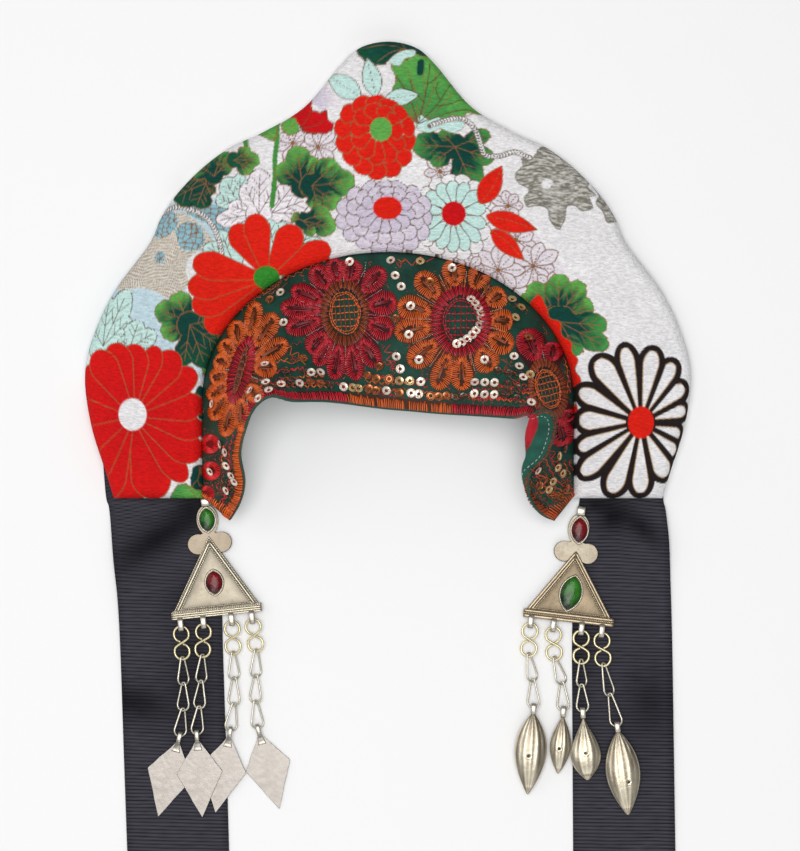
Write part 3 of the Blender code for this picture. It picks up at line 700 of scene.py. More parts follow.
SILVER_LEAVES = (
    (
        (515, 174), (522, 166), (522, 158), (532, 158), (541, 146), (552, 143), (562, 147), (566, 156),
        (577, 160), (582, 170), (592, 178), (588, 186), (596, 194), (590, 198), (593, 208), (582, 211),
        (575, 206), (567, 207), (565, 219), (559, 230), (550, 221), (547, 209), (537, 206), (527, 207),
        (524, 198), (529, 190), (518, 183),
    ),
    ((594, 182), (604, 186), (613, 198), (621, 216), (608, 223), (603, 212), (596, 203), (600, 194)),
)
RED_STRIP = (
    (536, 296), (546, 306), (550, 318), (560, 322), (562, 335), (571, 342), (572, 352), (578, 360),
    (575, 370), (581, 380), (576, 391), (575, 401), (577, 412), (570, 424), (545, 430), (515, 340),
)
CRIMSON_PART = (
    (286, 120), (300, 104), (310, 94), (312, 108), (320, 113), (326, 110), (328, 120), (334, 124),
    (330, 132), (318, 134), (304, 132), (298, 124),
)
CRIMSON_ROOT = (300, 128)
LILAC_PATCH = ((308, 104), (314, 86), (322, 82), (336, 96), (338, 108), (330, 106), (322, 110), (312, 102))
STEMS = (
    ((277, 120), (277, 140), (275, 158), (275, 178), (272, 206)),
    ((243, 132), (246, 144), (249, 156)),
)
ROPES = (
    ((160, 211), (178, 207), (197, 212), (210, 222), (219, 240), (222, 254)),
    (
        (430, 126), (448, 120), (463, 119), (474, 128), (480, 142), (485, 155), (500, 156), (515, 152),
        (530, 158),
    ),
)


def paint_open_flower(cloth, flower):
    """A flower of broad petals around its core."""
    centre = np.array(flower["centre"])
    for x, y, half_width in flower["petals"]:
        cloth.petal(centre, (x, y), half_width * 1.12, flower["colours"], GOLD_LINE, 0.75, widest=0.72)
    cloth.oval(centre, flower["oval"], flower["core"])


def paint_scale_flower(cloth, flower):
    """A flower of small petals, row by row from its rim to its core."""
    centre = np.array(flower["centre"])
    x0, y0, x1, y1 = flower["extents"]
    middle = np.array([(x0 + x1) / 2, (y0 + y1) / 2])
    radii = np.array([(x1 - x0) / 2, (y1 - y0) / 2])
    for row, (count, outer, inner, half_width, colours) in enumerate(flower["rows"]):
        for petal in range(count):
            wobble = 0.05 * math.sin(petal * 7.3 + row)
            turn = math.radians(flower["turn"]) + 2 * math.pi * (petal + 0.5 * (row % 2)) / count
            edge = middle + radii * np.array([math.cos(turn), math.sin(turn)])
            tip = centre + (edge - centre) * (outer + wobble)
            base = centre + (edge - centre) * inner
            cloth.petal(base, tip, half_width * radii.mean(), colours, flower["line"], 0.85, widest=0.6)
    cloth.oval(centre, flower["oval"], flower["core"])


def paint_brush_daisy(cloth):
    """A daisy of white petals in thick black lines."""
    centre = np.array(BRUSH_DAISY["centre"])
    for x, y, half_width in BRUSH_DAISY["petals"]:
        tip = np.array([x, y], float)
        axis = (tip - centre) / np.linalg.norm(tip - centre)
        cloth.petal(centre, tip, half_width * 1.12, (BLACK_LINE, BLACK_LINE), widest=0.74)
        base, end, inner = centre + axis * 15, tip - axis * 6.0, half_width - BRUSH_LINE
        cloth.petal(base, end, inner, (CREPE_WHITE, CREPE_WHITE), PALE_GOLD_LINE, 0.8, widest=0.76)
    cloth.oval(centre, BRUSH_DAISY["oval"], SCARLET)


def paint_star(cloth, x, y, radius, count, turn):
    """A small flower of pointed petals, each with a dashed line along it."""
    centre = np.array([x, y], float)
    colours = (PALE_LILAC, PALE_LILAC)
    for petal in range(count):
        angle = math.radians(turn) + 2 * math.pi * petal / count
        reach = radius * (0.88 + 0.14 * math.sin(petal * 5.1 + x))
        out = np.array([math.cos(angle), math.sin(angle)]) * reach
        cloth.petal(centre, centre + out, radius * 0.25, colours, STAR_LINE, 1.0, widest=0.6, pointed=True)
        cloth.line([centre, centre + out * 0.8], 0.9, STAR_LINE, dash=3.5)
    cloth.oval(centre, (2.2, 2.2), GOLD_LINE)


def paint_waves(cloth, outline):
    """A sand shape filled with broken wavy lines."""
    index, places, distance = cloth.patch(outline, SAND)
    x, y = places[:, 0], places[:, 1]
    wave = y + 1.4 * np.sin(x / 6.0) + 2.2 * noise(x / 9, y / 9, 8)
    stripe = np.sin(wave * 2 * math.pi / HATCH_PITCH) + 0.5 * noise(x / 2.5, y, 9)
    inside = np.clip(-distance / PRINT_SOFT, 0, 1)
    cloth.lay(index, inside * np.clip(stripe * 1.8, 0, 1), rgb(SAND_LINE))


def paint_foil(cloth, outline):
    """A shape of brushed silver foil: dark and bright streaks with bright flecks."""
    index, places, distance = cloth.patch(outline, FOIL_DARK)
    x, y = places[:, 0], places[:, 1]
    streak = noise(x / 4.5, (y + 1.5 * np.sin(x / 7)) / 1.15, 8) + 0.5 * noise(x / 2.0, y / 1.0, 9)
    inside = np.clip(-distance / PRINT_SOFT, 0, 1)
    cloth.lay(index, inside * np.clip(0.42 + 0.85 * streak, 0, 1), rgb(FOIL_BRIGHT))
    cloth.draw(index, distance + 0.4, 0.9, FOIL_DARK)


def paint_cells(cloth, outline, pitch, seed):
    """A blue shape filled with small outlined cells."""
    index, places, distance = cloth.patch(outline, MID_BLUE)
    low = np.min(outline, axis=0)
    high = np.max(outline, axis=0)
    random = np.random.RandomState(seed)
    seeds = []
    for x in np.arange(low[0], high[0] + pitch, pitch):
        for y in np.arange(low[1], high[1] + pitch, pitch * 0.8):
            seeds.append((x + random.uniform(-0.35, 0.35) * pitch, y + random.uniform(-0.35, 0.35) * pitch))
    spans = np.linalg.norm(places[:, None, :] - np.array(seeds)[None, :, :], axis=2)
    nearest = np.sort(spans, axis=1)[:, :2]
    edge = nearest[:, 1] - nearest[:, 0]
    cloth.lay(index, np.clip(1.3 - edge, 0, 1) * (distance < 0), rgb(GOLD_LINE))


def paint_rope(cloth, points):
    """A white twisted cord through points."""
    points = smooth(points, 6)
    index, places = cloth.near(points, 6)
    distance, along = line_distance(places, points)
    cloth.fill(index, distance - ROPE_HALF_WIDTH, rgb(CREPE_WHITE))
    twist = np.sin((along + distance * 0.8) * 2 * math.pi / ROPE_TWIST)
    cloth.lay(index, np.clip(twist * 2, 0, 1) * (distance < 2.0), rgb(ROPE_LINE))
    cloth.draw(index, distance - ROPE_HALF_WIDTH, 0.8, ROPE_LINE)


def paint_crest(places):
    """The print: chrysanthemums, leaves and waves on white crepe, from the back to the front."""
    cloth = Cloth(places, CREPE_WHITE)
    paint_left_ground(cloth)
    paint_stars(cloth)
    paint_leaves(cloth)
    paint_silver(cloth)
    paint_flowers(cloth)
    x, y = places[:, 0], places[:, 1]
    worn = 1 + 0.05 * noise(x / 3, y / 1.3, 11) + 0.04 * noise(x / 30, y / 30, 12)
    return cloth.colours * worn[:, None]


def paint_left_ground(cloth):
    """The pale blue ground at the left with its waves, cells, pale leaves and rope."""
    cloth.patch(BLUE_GROUND, PALE_BLUE)
    paint_waves(cloth, WAVES)
    for outline, pitch, seed in CELL_PATCHES:
        paint_cells(cloth, outline, pitch, seed)
    for root, lobes, colours in PALE_LEAVES:
        cloth.lobes(root, lobes, colours, BROWN_LINE)
    paint_rope(cloth, ROPES[0])


def paint_stars(cloth):
    """The lilac ground with its small flowers, and the patches beside it."""
    cloth.patch(STAR_GROUND, PALE_LILAC)
    for star in STAR_FLOWERS:
        paint_star(cloth, *star)
    cloth.blob(LILAC_PATCH, (LILAC, PALE_LILAC), LILAC_PATCH[0])
    cloth.blob(CRIMSON_PART, (CRIMSON, CRIMSON), CRIMSON_ROOT, BROWN_LINE, veins=3)


def paint_leaves(cloth):
    """The stems and leaves, the buttonhole, and the big leaf's rims and veins."""
    for stem in STEMS:
        cloth.line(stem, STEM_WIDTH, STEM_GREEN)
    for outline, colours, root, line in LEAVES:
        cloth.blob(outline, colours, root, line, veins=2, vein_line=GOLD_LINE)
    for root, lobes, colours in LOBED_LEAVES:
        cloth.lobes(root, lobes, colours, GOLD_LINE)
    cloth.patch(BUTTONHOLE, DARK_GREEN)
    for outline in BIG_LEAF_RIMS:
        cloth.patch(outline, AQUA, GOLD_LINE, 0.6)
    for vein in BIG_LEAF_VEINS:
        cloth.line(vein, 1.0, BROWN_LINE)


def paint_silver(cloth):
    """The silver leaves at the right, with their rope."""
    for outline in SILVER_LEAVES:
        paint_foil(cloth, outline)
    cloth.patch(FOIL_HOLE, CREPE_WHITE)
    paint_rope(cloth, ROPES[1])


def paint_flowers(cloth):
    """The chrysanthemums and the leaves that lie over them."""
    paint_scale_flower(cloth, SCALE_FLOWERS["aqua"])
    paint_scale_flower(cloth, SCALE_FLOWERS["lilac"])
    for base, tip, half_width in AQUA_LEAVES:
        cloth.petal(base, tip, half_width, (AQUA, AQUA), BROWN_LINE, 0.9, widest=0.45, pointed=True)
        cloth.line([base, tip], 0.7, BROWN_LINE, dash=4.0)
    paint_scale_flower(cloth, SCALE_FLOWERS["scarlet"])
    for base, tip, half_width, bend in RED_LEAVES:
        middle = (np.array(base) + np.array(tip)) / 2 + np.array(bend) * 0.3
        cloth.petal(base, tip, half_width, (SCARLET, SCARLET), GOLD_LINE, 0.7, widest=0.42, pointed=True)
        cloth.line([base, middle, tip], 0.7, GOLD_LINE, dash=5.0)
    cloth.patch(RED_STRIP, SCARLET, GOLD_LINE, 0.7)
    paint_open_flower(cloth, SCARLET_FLOWER)
    paint_open_flower(cloth, CRIMSON_FLOWER)
    paint_brush_daisy(cloth)


def arch_edge():
    """The crest's inner edge, from the left foot up a straight leg, round a half ellipse and down again."""
    turns = np.linspace(math.pi, 0, 361)
    curve = np.column_stack([ARCH_HALF_WIDTH * np.cos(turns), ARCH_CENTRE_Y + ARCH_RISE * np.sin(turns)])
    return np.vstack([(-ARCH_HALF_WIDTH, CREST_FOOT_Y), curve, (ARCH_HALF_WIDTH, CREST_FOOT_Y)])


def outer_edge():
    """The crest's outer edge, from the left foot over the peak to the right foot."""
    left = [(-x, y) for x, y in reversed(CREST_OUTLINE[1:])]
    return smooth([*left, *CREST_OUTLINE], 14)


def back_height(y):
    """How high the crest's back lies: on the ribbons at the feet, on the surface further up."""
    share = np.clip((y - BACK_SLOPE_FROM_Y) / (BACK_SLOPE_TO_Y - BACK_SLOPE_FROM_Y), 0.0, 1.0)
    return BACK_OVER_RIBBONS * (1 - share * share * (3 - 2 * share))


def crest_surface(stations, columns):
    """Points of the cover from the inner edge over the front to the outer one, and their print's pixels."""
    radius = CREST_THICKNESS / 2
    inner = arch_edge()
    outer = outer_edge()
    total = lengths_along(inner)[-1]
    shares = np.linspace(0, 1, stations)
    near = points_along(inner, shares * total)
    far = points_along(outer, shares * lengths_along(outer)[-1])
    across = np.linalg.norm(far - near, axis=1)[:, None]
    direction = (far - near) / across
    turned_in = (math.pi - 1) * radius
    flat = np.linspace(0, 1, columns)[None, :] * (across + turned_in * 2) - turned_in
    # How far round the inner or the outer edge a point is, as an angle from the front
    inner_turn = np.clip((radius - flat) / radius, 0, math.pi)
    outer_turn = np.clip((flat - (across - radius)) / radius, 0, math.pi)
    turn = np.maximum(inner_turn, outer_turn)
    distance = np.where(inner_turn > 0, radius - radius * np.sin(inner_turn), flat)
    distance = np.where(outer_turn > 0, across - radius + radius * np.sin(outer_turn), distance)
    crown = CREST_CROWN * np.sin(math.pi * np.clip(distance / across, 0, 1)) * np.clip(np.cos(turn), 0, 1)
    height = radius + radius * np.cos(turn) + crown
    end = np.minimum(shares, 1 - shares)[:, None] * total
    depth = radius - np.minimum(end, radius)
    height = radius + (height - radius) * np.sqrt(np.clip(radius**2 - depth**2, 0.3, None)) / radius
    plan = near[:, None, :] + direction[:, None, :] * distance[..., None]
    printed = near[:, None, :] + direction[:, None, :] * np.maximum(flat, PRINT_TURN)[..., None]
    points = np.concatenate([plan, (back_height(plan[..., 1]) + height)[..., None]], axis=-1)
    printed = np.concatenate([printed, np.full_like(height, CREST_SURFACE_Z)[..., None]], axis=-1)
    return points, on_photo(printed)


def make_crest(material):
    """The padded crest in pieces that meet edge to edge, each a closed cover with its back."""
    stations = CREST_STATIONS
    columns = CREST_ACROSS
    points, places = crest_surface(stations, columns)
    colours = paint_crest(places.reshape(-1, 2)).reshape(stations, columns, 3)
    pieces = []
    for number in range(CREST_PIECES):
        first = (stations - 1) * number // CREST_PIECES
        last = (stations - 1) * (number + 1) // CREST_PIECES + 1
        part = points[first:last]
        rows = last - first
        faces = grid_faces(rows, columns, ring=True)
        if number == 0:
            faces = np.vstack([faces, end_faces(columns, 0, True)])
        if number == CREST_PIECES - 1:
            faces = np.vstack([faces, end_faces(columns, (rows - 1) * columns, False)])
        paint = colours[first:last].reshape(-1, 3)
        pieces.append(make_mesh(f"crest_cover_{number + 1}", part, faces, material, paint))
    return pieces


# Noises of the looks: scale, detail, stretch on each axis, distortion
EVEN = (1.0, 1.0, 1.0)
CREPE_CRINKLE = (1150.0, 1.0, (0.36, 1.0, 1.0), 0.6)
# How the materials look. Bumps, the deepest first: noise, strength, depth in metres. Shade: noise, its
# range, and the brightness that this range is carried to; in the crepe this is painted shade in its
# crinkles, in the silver its tarnish
LOOKS = {
    "printed_crepe": {
        "inputs": {"Roughness": 0.85, "Specular IOR Level": 0.12},
        "bumps": ((CREPE_CRINKLE, 0.85, 0.0008), ((1700.0, 2.0, EVEN, 0.0), 0.4, 0.0002)),
        "shade": (CREPE_CRINKLE, (0.34, 0.62), (0.83, 1.03)),
    },
    "embroidery_thread": {
        "inputs": {"Roughness": 0.36, "Specular IOR Level": 0.6},
        "bumps": (((3200.0, 1.0, EVEN, 0.0), 0.35, 0.0002),),
    },
    "embroidered_cloth": {
        "inputs": {"Roughness": 0.6, "Specular IOR Level": 0.3},
        "bumps": (
            ((160.0, 2.0, EVEN, 0.0), 0.5, 0.0008),
            ((2400.0, 1.0, (1.0, 0.35, 1.0), 0.0), 0.4, 0.0002),
        ),
    },
    "sequins": {"inputs": {"Coat Weight": 0.4}, "bumps": (((900.0, 2.0, EVEN, 0.0), 0.25, 0.0003),)},
    "old_silver": {
        "inputs": {"Roughness": 0.33, "Metallic": 0.85},
        "bumps": (
            ((260.0, 2.0, EVEN, 0.0), 0.22, 0.0006),
            ((2600.0, 2.0, (1.0, 0.08, 1.0), 0.0), 0.12, 0.0001),
        ),
        "shade": ((300.0, 4.0, EVEN, 0.0), (0.4, 0.75), (1.0, 0.84)),
    },
    "glass": {
        "inputs": {
            "Roughness": 0.2,
            "Coat Weight": 0.25,
            "Coat Roughness": 0.06,
            "Specular IOR Level": 0.2,
        },
        "bumps": (((420.0, 3.0, EVEN, 0.0), 0.5, 0.0008),),
    },
    "black_grosgrain": {
        "inputs": {"Roughness": 0.55, "Specular IOR Level": 0.05, "Specular Tint": (0.82, 0.86, 1.0, 1.0)},
        "bumps": (((2600.0, 1.0, (1.0, 0.3, 1.0), 0.0), 0.35, 0.0002),),
    },
    "white_table": {
        "inputs": {"Roughness": 0.6, "Base Color": (0.88, 0.88, 0.885, 1.0)},
        "bumps": (((30.0, 3.0, EVEN, 0.0), 0.02, 0.001),),
    },
}


def feed(tree, node, inputs):
    """Sets a node's inputs, each to a value or to what another node gives."""
    for name, value in inputs.items():
        if isinstance(value, bpy.types.NodeSocket):
            tree.links.new(value, node.inputs[name])
        else:
            node.inputs[name].default_value = value


def add_node(tree, kind, output, inputs, **settings):
    """One output of a new node with these settings and inputs."""
    node = tree.nodes.new(f"ShaderNode{kind}")
    for name, value in settings.items():
        setattr(node, name, value)
    feed(tree, node, inputs)
    return node.outputs[output]


def noise_texture(tree, scale, detail, stretch, distortion):
    place = add_node(tree, "TexCoord", "Object", {})
    place = add_node(tree, "Mapping", "Vector", {"Vector": place, "Scale": stretch})
    inputs = {"Vector": place, "Scale": scale, "Detail": detail, "Distortion": distortion}
    return add_node(tree, "TexNoise", "Fac", inputs)


def painted_colour(tree, shade):
    """The mesh's own colours, brighter and darker with a noise if there is a shade."""
    colour = add_node(tree, "Attribute", "Color", {}, attribute_name="paint")
    if not shade:
        return colour
    noise_values, (low, high), (dark, bright) = shade
    inputs = {"Value": noise_texture(tree, *noise_values), "From Min": low, "From Max": high}
    scale = add_node(tree, "MapRange", "Result", {**inputs, "To Min": dark, "To Max": bright})
    return add_node(tree, "VectorMath", "Vector", {"Vector": colour, "Scale": scale}, operation="SCALE")


def bumped_normal(tree, bumps):
    """The surface's normal with these bumps, one on another."""
    below = {}
    for noise_values, strength, depth in bumps:
        height = noise_texture(tree, *noise_values)
        inputs = {"Strength": strength, "Distance": depth, "Height": height, **below}
        below = {"Normal": add_node(tree, "Bump", "Normal", inputs)}
    return below["Normal"]


def make_material(name, look=None, own_inputs=None):
    """A material with the look of its name or another one, and shader inputs of its own."""
    look = LOOKS[look or name]
    material = bpy.data.materials.new(name)
    material.use_nodes = True
    tree = material.node_tree
    inputs = {"Normal": bumped_normal(tree, look["bumps"]), **look["inputs"], **(own_inputs or {})}
    if "Base Color" not in inputs:
        inputs["Base Color"] = painted_colour(tree, look.get("shade"))
    feed(tree, tree.nodes["Principled BSDF"], inputs)
    return material


# Forehead band, as in the CAD part. A row for each section, from the left foot over the arch to the right.
# seam: distance along the arch's edge. heading: plan direction from the seam to the free edge, degrees.
# reach, rise: plan distance and height of the free edge or fold. belly: outward bow, degrees.
# dip: hollow across the middle. hem: cloth rolled back outward past the fold.
BAND_SECTIONS = (
    # seam, heading, reach, rise, belly, dip, hem
    (1.2, -40.0, 18.0, 15.0, 10.0, 0.0, 0.0),
    (9.0, -5.0, 21.5, 27.0, 12.0, 0.0, 0.0),
    (23.5, -2.0, 20.0, 38.0, 12.0, 0.5, 0.0),
    (45.5, -22.0, 25.5, 50.0, 10.0, 2.0, 0.0),
    (81.9, -51.0, 40.0, 56.0, 14.0, 6.0, 0.0),
    (102.9, -64.0, 54.5, 50.0, 12.0, 4.0, 0.0),
    (131.9, -74.0, 67.5, 39.0, 11.0, 1.0, 0.0),
    (157.4, -80.5, 75.5, 33.0, 9.0, 0.0, 0.0),
    (182.0, -87.0, 77.5, 31.0, 8.0, 0.0, 0.0),
    (206.6, -92.0, 75.0, 32.0, 9.0, 0.0, 0.0),
    (233.2, -99.0, 66.3, 38.0, 12.0, 0.0, 0.0),
    (258.8, -106.5, 52.3, 46.0, 14.0, 1.0, 0.0),
    (278.3, -118.0, 36.0, 48.0, 14.0, 2.0, 3.0),
    (304.0, -147.0, 27.8, 42.0, 12.0, 1.0, 19.0),
    (326.0, -170.0, 23.3, 36.0, 12.0, 0.0, 15.0),
    (341.0, -178.0, 24.0, 28.0, 12.0, 0.0, 7.0),
    (351.0, -130.0, 15.5, 13.0, 10.0, 0.0, 0.0),
)
BAND_HALF_THICKNESS = 0.7
BAND_SEAM_INSET = 0.2
BAND_SEAM_LIFT = 5.0
BAND_ROLL_RADIUS = 2.5
BAND_ROLL_END = 184.0
BAND_STEPS = 20
BAND_COLUMNS = 76

# Thread and cloth colours
TEAL_CLOTH = (10, 60, 48)
TEAL_LINING = (20, 78, 64)
TEAL_SHADOW = (10, 48, 40)
CRIMSON_THREAD = (184, 15, 36)
SCARLET_THREAD = (206, 26, 30)
ORANGE_THREAD = (212, 94, 26)
RUST_THREAD = (150, 62, 24)
BROWN_THREAD = (120, 50, 22)
ROLL_THREAD = (172, 76, 28)
WHITE_THREAD = (214, 208, 200)
GROUND_THREADS = (SCARLET_THREAD, RUST_THREAD, CRIMSON_THREAD, ORANGE_THREAD, BROWN_THREAD)
LOOSE_BROWN = (72, 30, 13.2)
LOOSE_THREADS = (BROWN_THREAD, CRIMSON_THREAD, RUST_THREAD, LOOSE_BROWN)

PETAL_SPREAD = 1.25
STITCH_WIDTH = 0.78
STITCH_PITCH = 1.08
HEM_DEPTH = 5.6
HEM_UNDER = 2.2
HEM_GAPS = (158.0, 181.0, 196.0)
HEM_GAP_WIDTH = 1.8
# Rows of thread over the green ground: how far in from the hem, and for the others first, last and pitch
HEM_ROWS = (8.0, 9.4, 13.6, 15.0)
GROUND_ROWS = (19.5, 84.0, 4.4)
LOOSE_COUNT = 4200
BAND_ROW_PITCH = 1.6
WAVE_HEIGHT = 1.5
PETAL_CORNERS = 40
WIDEST_GAP = 46
SEQUIN_SIDES = 18
SEQUIN_LIFT = 0.62
# Rings of a sequin: distance from its middle, height, shade
SEQUIN_RINGS = (
    (0.8, 0.05, 0.45),
    (1.0, 0.03, 1.0),
    (1.35, 0.02, 1.05),
    (1.935, 0.22, 0.9),
    (2.25, 0.42, 0.35),
    (2.25, 0.3, 0.3),
    (1.35, -0.12, 0.4),
    (0.8, -0.08, 0.4),
)

# Embroidered flowers. ring, core: half width and half height in pixels. petals: tip x, tip y, half width
EMBROIDERED_FLOWERS = (
    {
        "centre": (345, 313),
        "lean": -4,
        "ring": (25, 34),
        "core": (16, 22.5),
        "petal_thread": CRIMSON_THREAD,
        "ring_thread": RUST_THREAD,
        "net_thread": ORANGE_THREAD,
        "petals": (
            (352, 259, 11), (333, 258, 9), (313, 266, 10), (291, 288, 9), (280, 307, 9.5), (285, 329, 10),
            (309, 353, 11), (316, 366, 8), (334, 380, 9), (357, 381, 8.5), (378, 367, 9.5), (393, 333, 11),
            (397, 300, 11.5), (384, 268, 10),
        ),
    },
    {
        "centre": (461, 321),
        "lean": 0,
        "ring": (31.5, 36.5),
        "core": (18.5, 24),
        "petal_thread": ORANGE_THREAD,
        "ring_thread": CRIMSON_THREAD,
        "net_thread": CRIMSON_THREAD,
        "petals": (
            (436, 390, 10), (462, 391, 10.5), (493, 371, 12), (513, 348, 11), (513, 320, 10.5),
            (505, 292, 10.5), (483, 266, 10.5), (452, 259, 11), (417, 273, 10.5), (397, 304, 11.5),
            (394, 333, 11.5), (409, 365, 11.5),
        ),
    },
    {
        "centre": (241, 370),
        "lean": 15,
        "ring": (12.5, 36),
        "core": (3, 26),
        "petal_thread": ORANGE_THREAD,
        "ring_thread": CRIMSON_THREAD,
        "net_thread": RUST_THREAD,
        "petals": (
            (257, 301, 8), (276, 313, 10), (288, 341, 9.5), (277, 366, 10), (259, 402, 8.5), (242, 432, 8),
            (224, 437, 8), (211, 420, 8), (208, 399, 8), (210, 379, 8.5), (214, 359, 8.5), (222, 340, 8.5),
            (236, 320, 9),
        ),
    },
    {
        "centre": (548, 389),
        "lean": -14,
        "ring": (20, 32),
        "core": (12.5, 21),
        "petal_thread": CRIMSON_THREAD,
        "ring_thread": RUST_THREAD,
        "net_thread": ORANGE_THREAD,
        "petals": ((554, 342, 9), (525, 329, 13), (565, 446, 12), (572, 420, 8)),
    },
)
# Small flowers beside them: x, y, radius
SMALL_FLOWERS = (
    (210, 444, 10),
    (211, 471, 10),
    (206, 494, 9),
)
# Pixels of the sequins
SEQUINS_WHITE = (
    (452, 268), (411, 306), (409, 335), (419, 360), (485, 360), (391, 261), (395, 276), (401, 287),
    (421, 382), (411, 393), (419, 394), (475, 383), (485, 383), (495, 383), (475, 394), (485, 395),
    (495, 395), (386, 391), (514, 357), (519, 367), (523, 378), (531, 403), (281, 293), (284, 323),
    (265, 365), (311, 373), (320, 373), (266, 383), (281, 385), (299, 384), (259, 399), (269, 391),
    (251, 391), (213, 404), (221, 444), (226, 452), (227, 465), (232, 475), (235, 481), (227, 490),
    (211, 471), (350, 262), (396, 357), (400, 369), (537, 470), (343, 387),
)
SEQUINS_GOLD = (
    (521, 308), (515, 318), (512, 300), (548, 489), (399, 381), (410, 381), (552, 481), (562, 473),
    (558, 456), (420, 262), (352, 388), (358, 389), (557, 467), (530, 375),
)
SEQUINS_COPPER = (
    (396, 319), (430, 282), (367, 376), (376, 379), (389, 379), (369, 389), (376, 391), (399, 393),
    (379, 367), (303, 359), (539, 485), (553, 495), (566, 488), (560, 497), (487, 290), (545, 432),
    (528, 338), (246, 300), (270, 300), (262, 292), (431, 396), (439, 397), (447, 396), (310, 383),
    (320, 384),
)
SEQUINS_DARK = (
    (285, 371), (293, 360), (291, 383), (506, 396), (517, 399), (508, 385), (518, 389), (498, 371),
    (509, 374), (564, 449), (456, 397), (464, 397), (330, 385), (303, 371),
)
SEQUIN_ARC = (
    (471, 300), (475, 304), (478, 309), (480, 314), (480, 320), (479, 326), (476, 331), (472, 335),
    (467, 339), (462, 342), (457, 344),
)
SEQUIN_ARC_MIDDLE = (458, 320)
# Sequins: name, pixels, colour, roughness, metallic, thread
SEQUIN_KINDS = (
    ("sequins_white", SEQUINS_WHITE + SEQUIN_ARC, (250, 240, 222), 0.26, 0.3, SCARLET_THREAD),
    ("sequins_gold", SEQUINS_GOLD, (232, 206, 150), 0.2, 0.8, ORANGE_THREAD),
    ("sequins_copper", SEQUINS_COPPER, (172, 104, 58), 0.25, 0.85, ORANGE_THREAD),
    ("sequins_dark", SEQUINS_DARK, (84, 84, 66), 0.22, 0.85, SCARLET_THREAD),
)
LINING_CORNER = ((516, 412), (534, 413), (538, 424), (534, 436), (528, 448), (515, 460))
# Rows of white dashes: first and last pixel
WHITE_RUNS = (
    ((337, 276), (341, 262)),
    ((364, 277), (366, 262)),
    ((366, 292), (376, 282)),
    ((349, 350), (346, 366)),
    ((329, 346), (323, 360)),
)
# Zigzag threads over the green ground: colour and the corners
ZIGZAGS = (
    (SCARLET_THREAD, ((392, 256), (400, 268), (404, 258), (412, 266), (420, 256), (426, 262), (434, 258))),
    (SCARLET_THREAD, ((372, 318), (386, 316), (398, 320), (404, 313), (398, 326))),
    (SCARLET_THREAD, ((391, 344), (384, 352), (394, 353), (386, 360), (396, 362), (390, 368), (404, 371))),
    (ORANGE_THREAD, ((284, 350), (292, 346), (290, 356), (299, 352), (298, 361), (306, 357))),
    (ORANGE_THREAD, ((282, 360), (292, 364), (300, 360), (306, 365))),
    (RUST_THREAD, ((262, 296), (272, 290), (280, 284), (276, 294), (288, 282))),
    (RUST_THREAD, ((500, 359), (508, 363), (504, 369), (514, 371), (510, 378), (520, 384))),
    (SCARLET_THREAD, ((500, 385), (510, 388), (518, 386), (526, 394), (532, 392))),
    (SCARLET_THREAD, ((528, 350), (536, 366), (540, 378))),
    (SCARLET_THREAD, ((545, 450), (556, 452), (550, 460), (562, 464), (554, 470), (568, 474))),
    (ORANGE_THREAD, ((530, 462), (540, 464), (536, 474), (548, 478), (542, 486), (556, 488), (550, 496))),
    (RUST_THREAD, ((530, 480), (538, 490), (546, 494), (554, 502), (560, 500))),
    (CRIMSON_THREAD, ((220, 430), (228, 440), (222, 456), (232, 462), (226, 474))),
)
# Wavy threads over the green ground: colour, first and last place in pixels, number of waves
WAVY_THREADS = (
    (CRIMSON_THREAD, (306, 381), (342, 384), 8),
    (SCARLET_THREAD, (270, 373), (305, 368), 6),
    (ORANGE_THREAD, (362, 386), (400, 391), 8),
    (ORANGE_THREAD, (363, 375), (392, 380), 7),
    (ORANGE_THREAD, (424, 392), (448, 396), 6),
    (SCARLET_THREAD, (444, 394), (472, 395), 5),
    (SCARLET_THREAD, (472, 382), (530, 390), 10),
    (SCARLET_THREAD, (472, 395), (530, 402), 10),
    (RUST_THREAD, (496, 369), (516, 374), 4),
    (ORANGE_THREAD, (276, 362), (302, 357), 4),
    (BROWN_THREAD, (275, 347), (302, 343), 4),
    (BROWN_THREAD, (246, 303), (290, 276), 8),
    (RUST_THREAD, (240, 310), (282, 281), 7),
    (RUST_THREAD, (284, 280), (330, 258), 6),
    (CRIMSON_THREAD, (380, 362), (398, 367), 3),
    (BROWN_THREAD, (498, 268), (520, 290), 4),
    (RUST_THREAD, (532, 476), (566, 484), 5),
    (ORANGE_THREAD, (540, 492), (566, 494), 4),
    (CRIMSON_THREAD, (550, 444), (572, 440), 4),
)
# Thread of the hem, by where along the seam it starts
HEM_THREADS = (
    (0.0, ORANGE_THREAD),
    (48.0, CRIMSON_THREAD),
    (140.0, ORANGE_THREAD),
    (212.0, CRIMSON_THREAD),
    (288.0, RUST_THREAD),
)


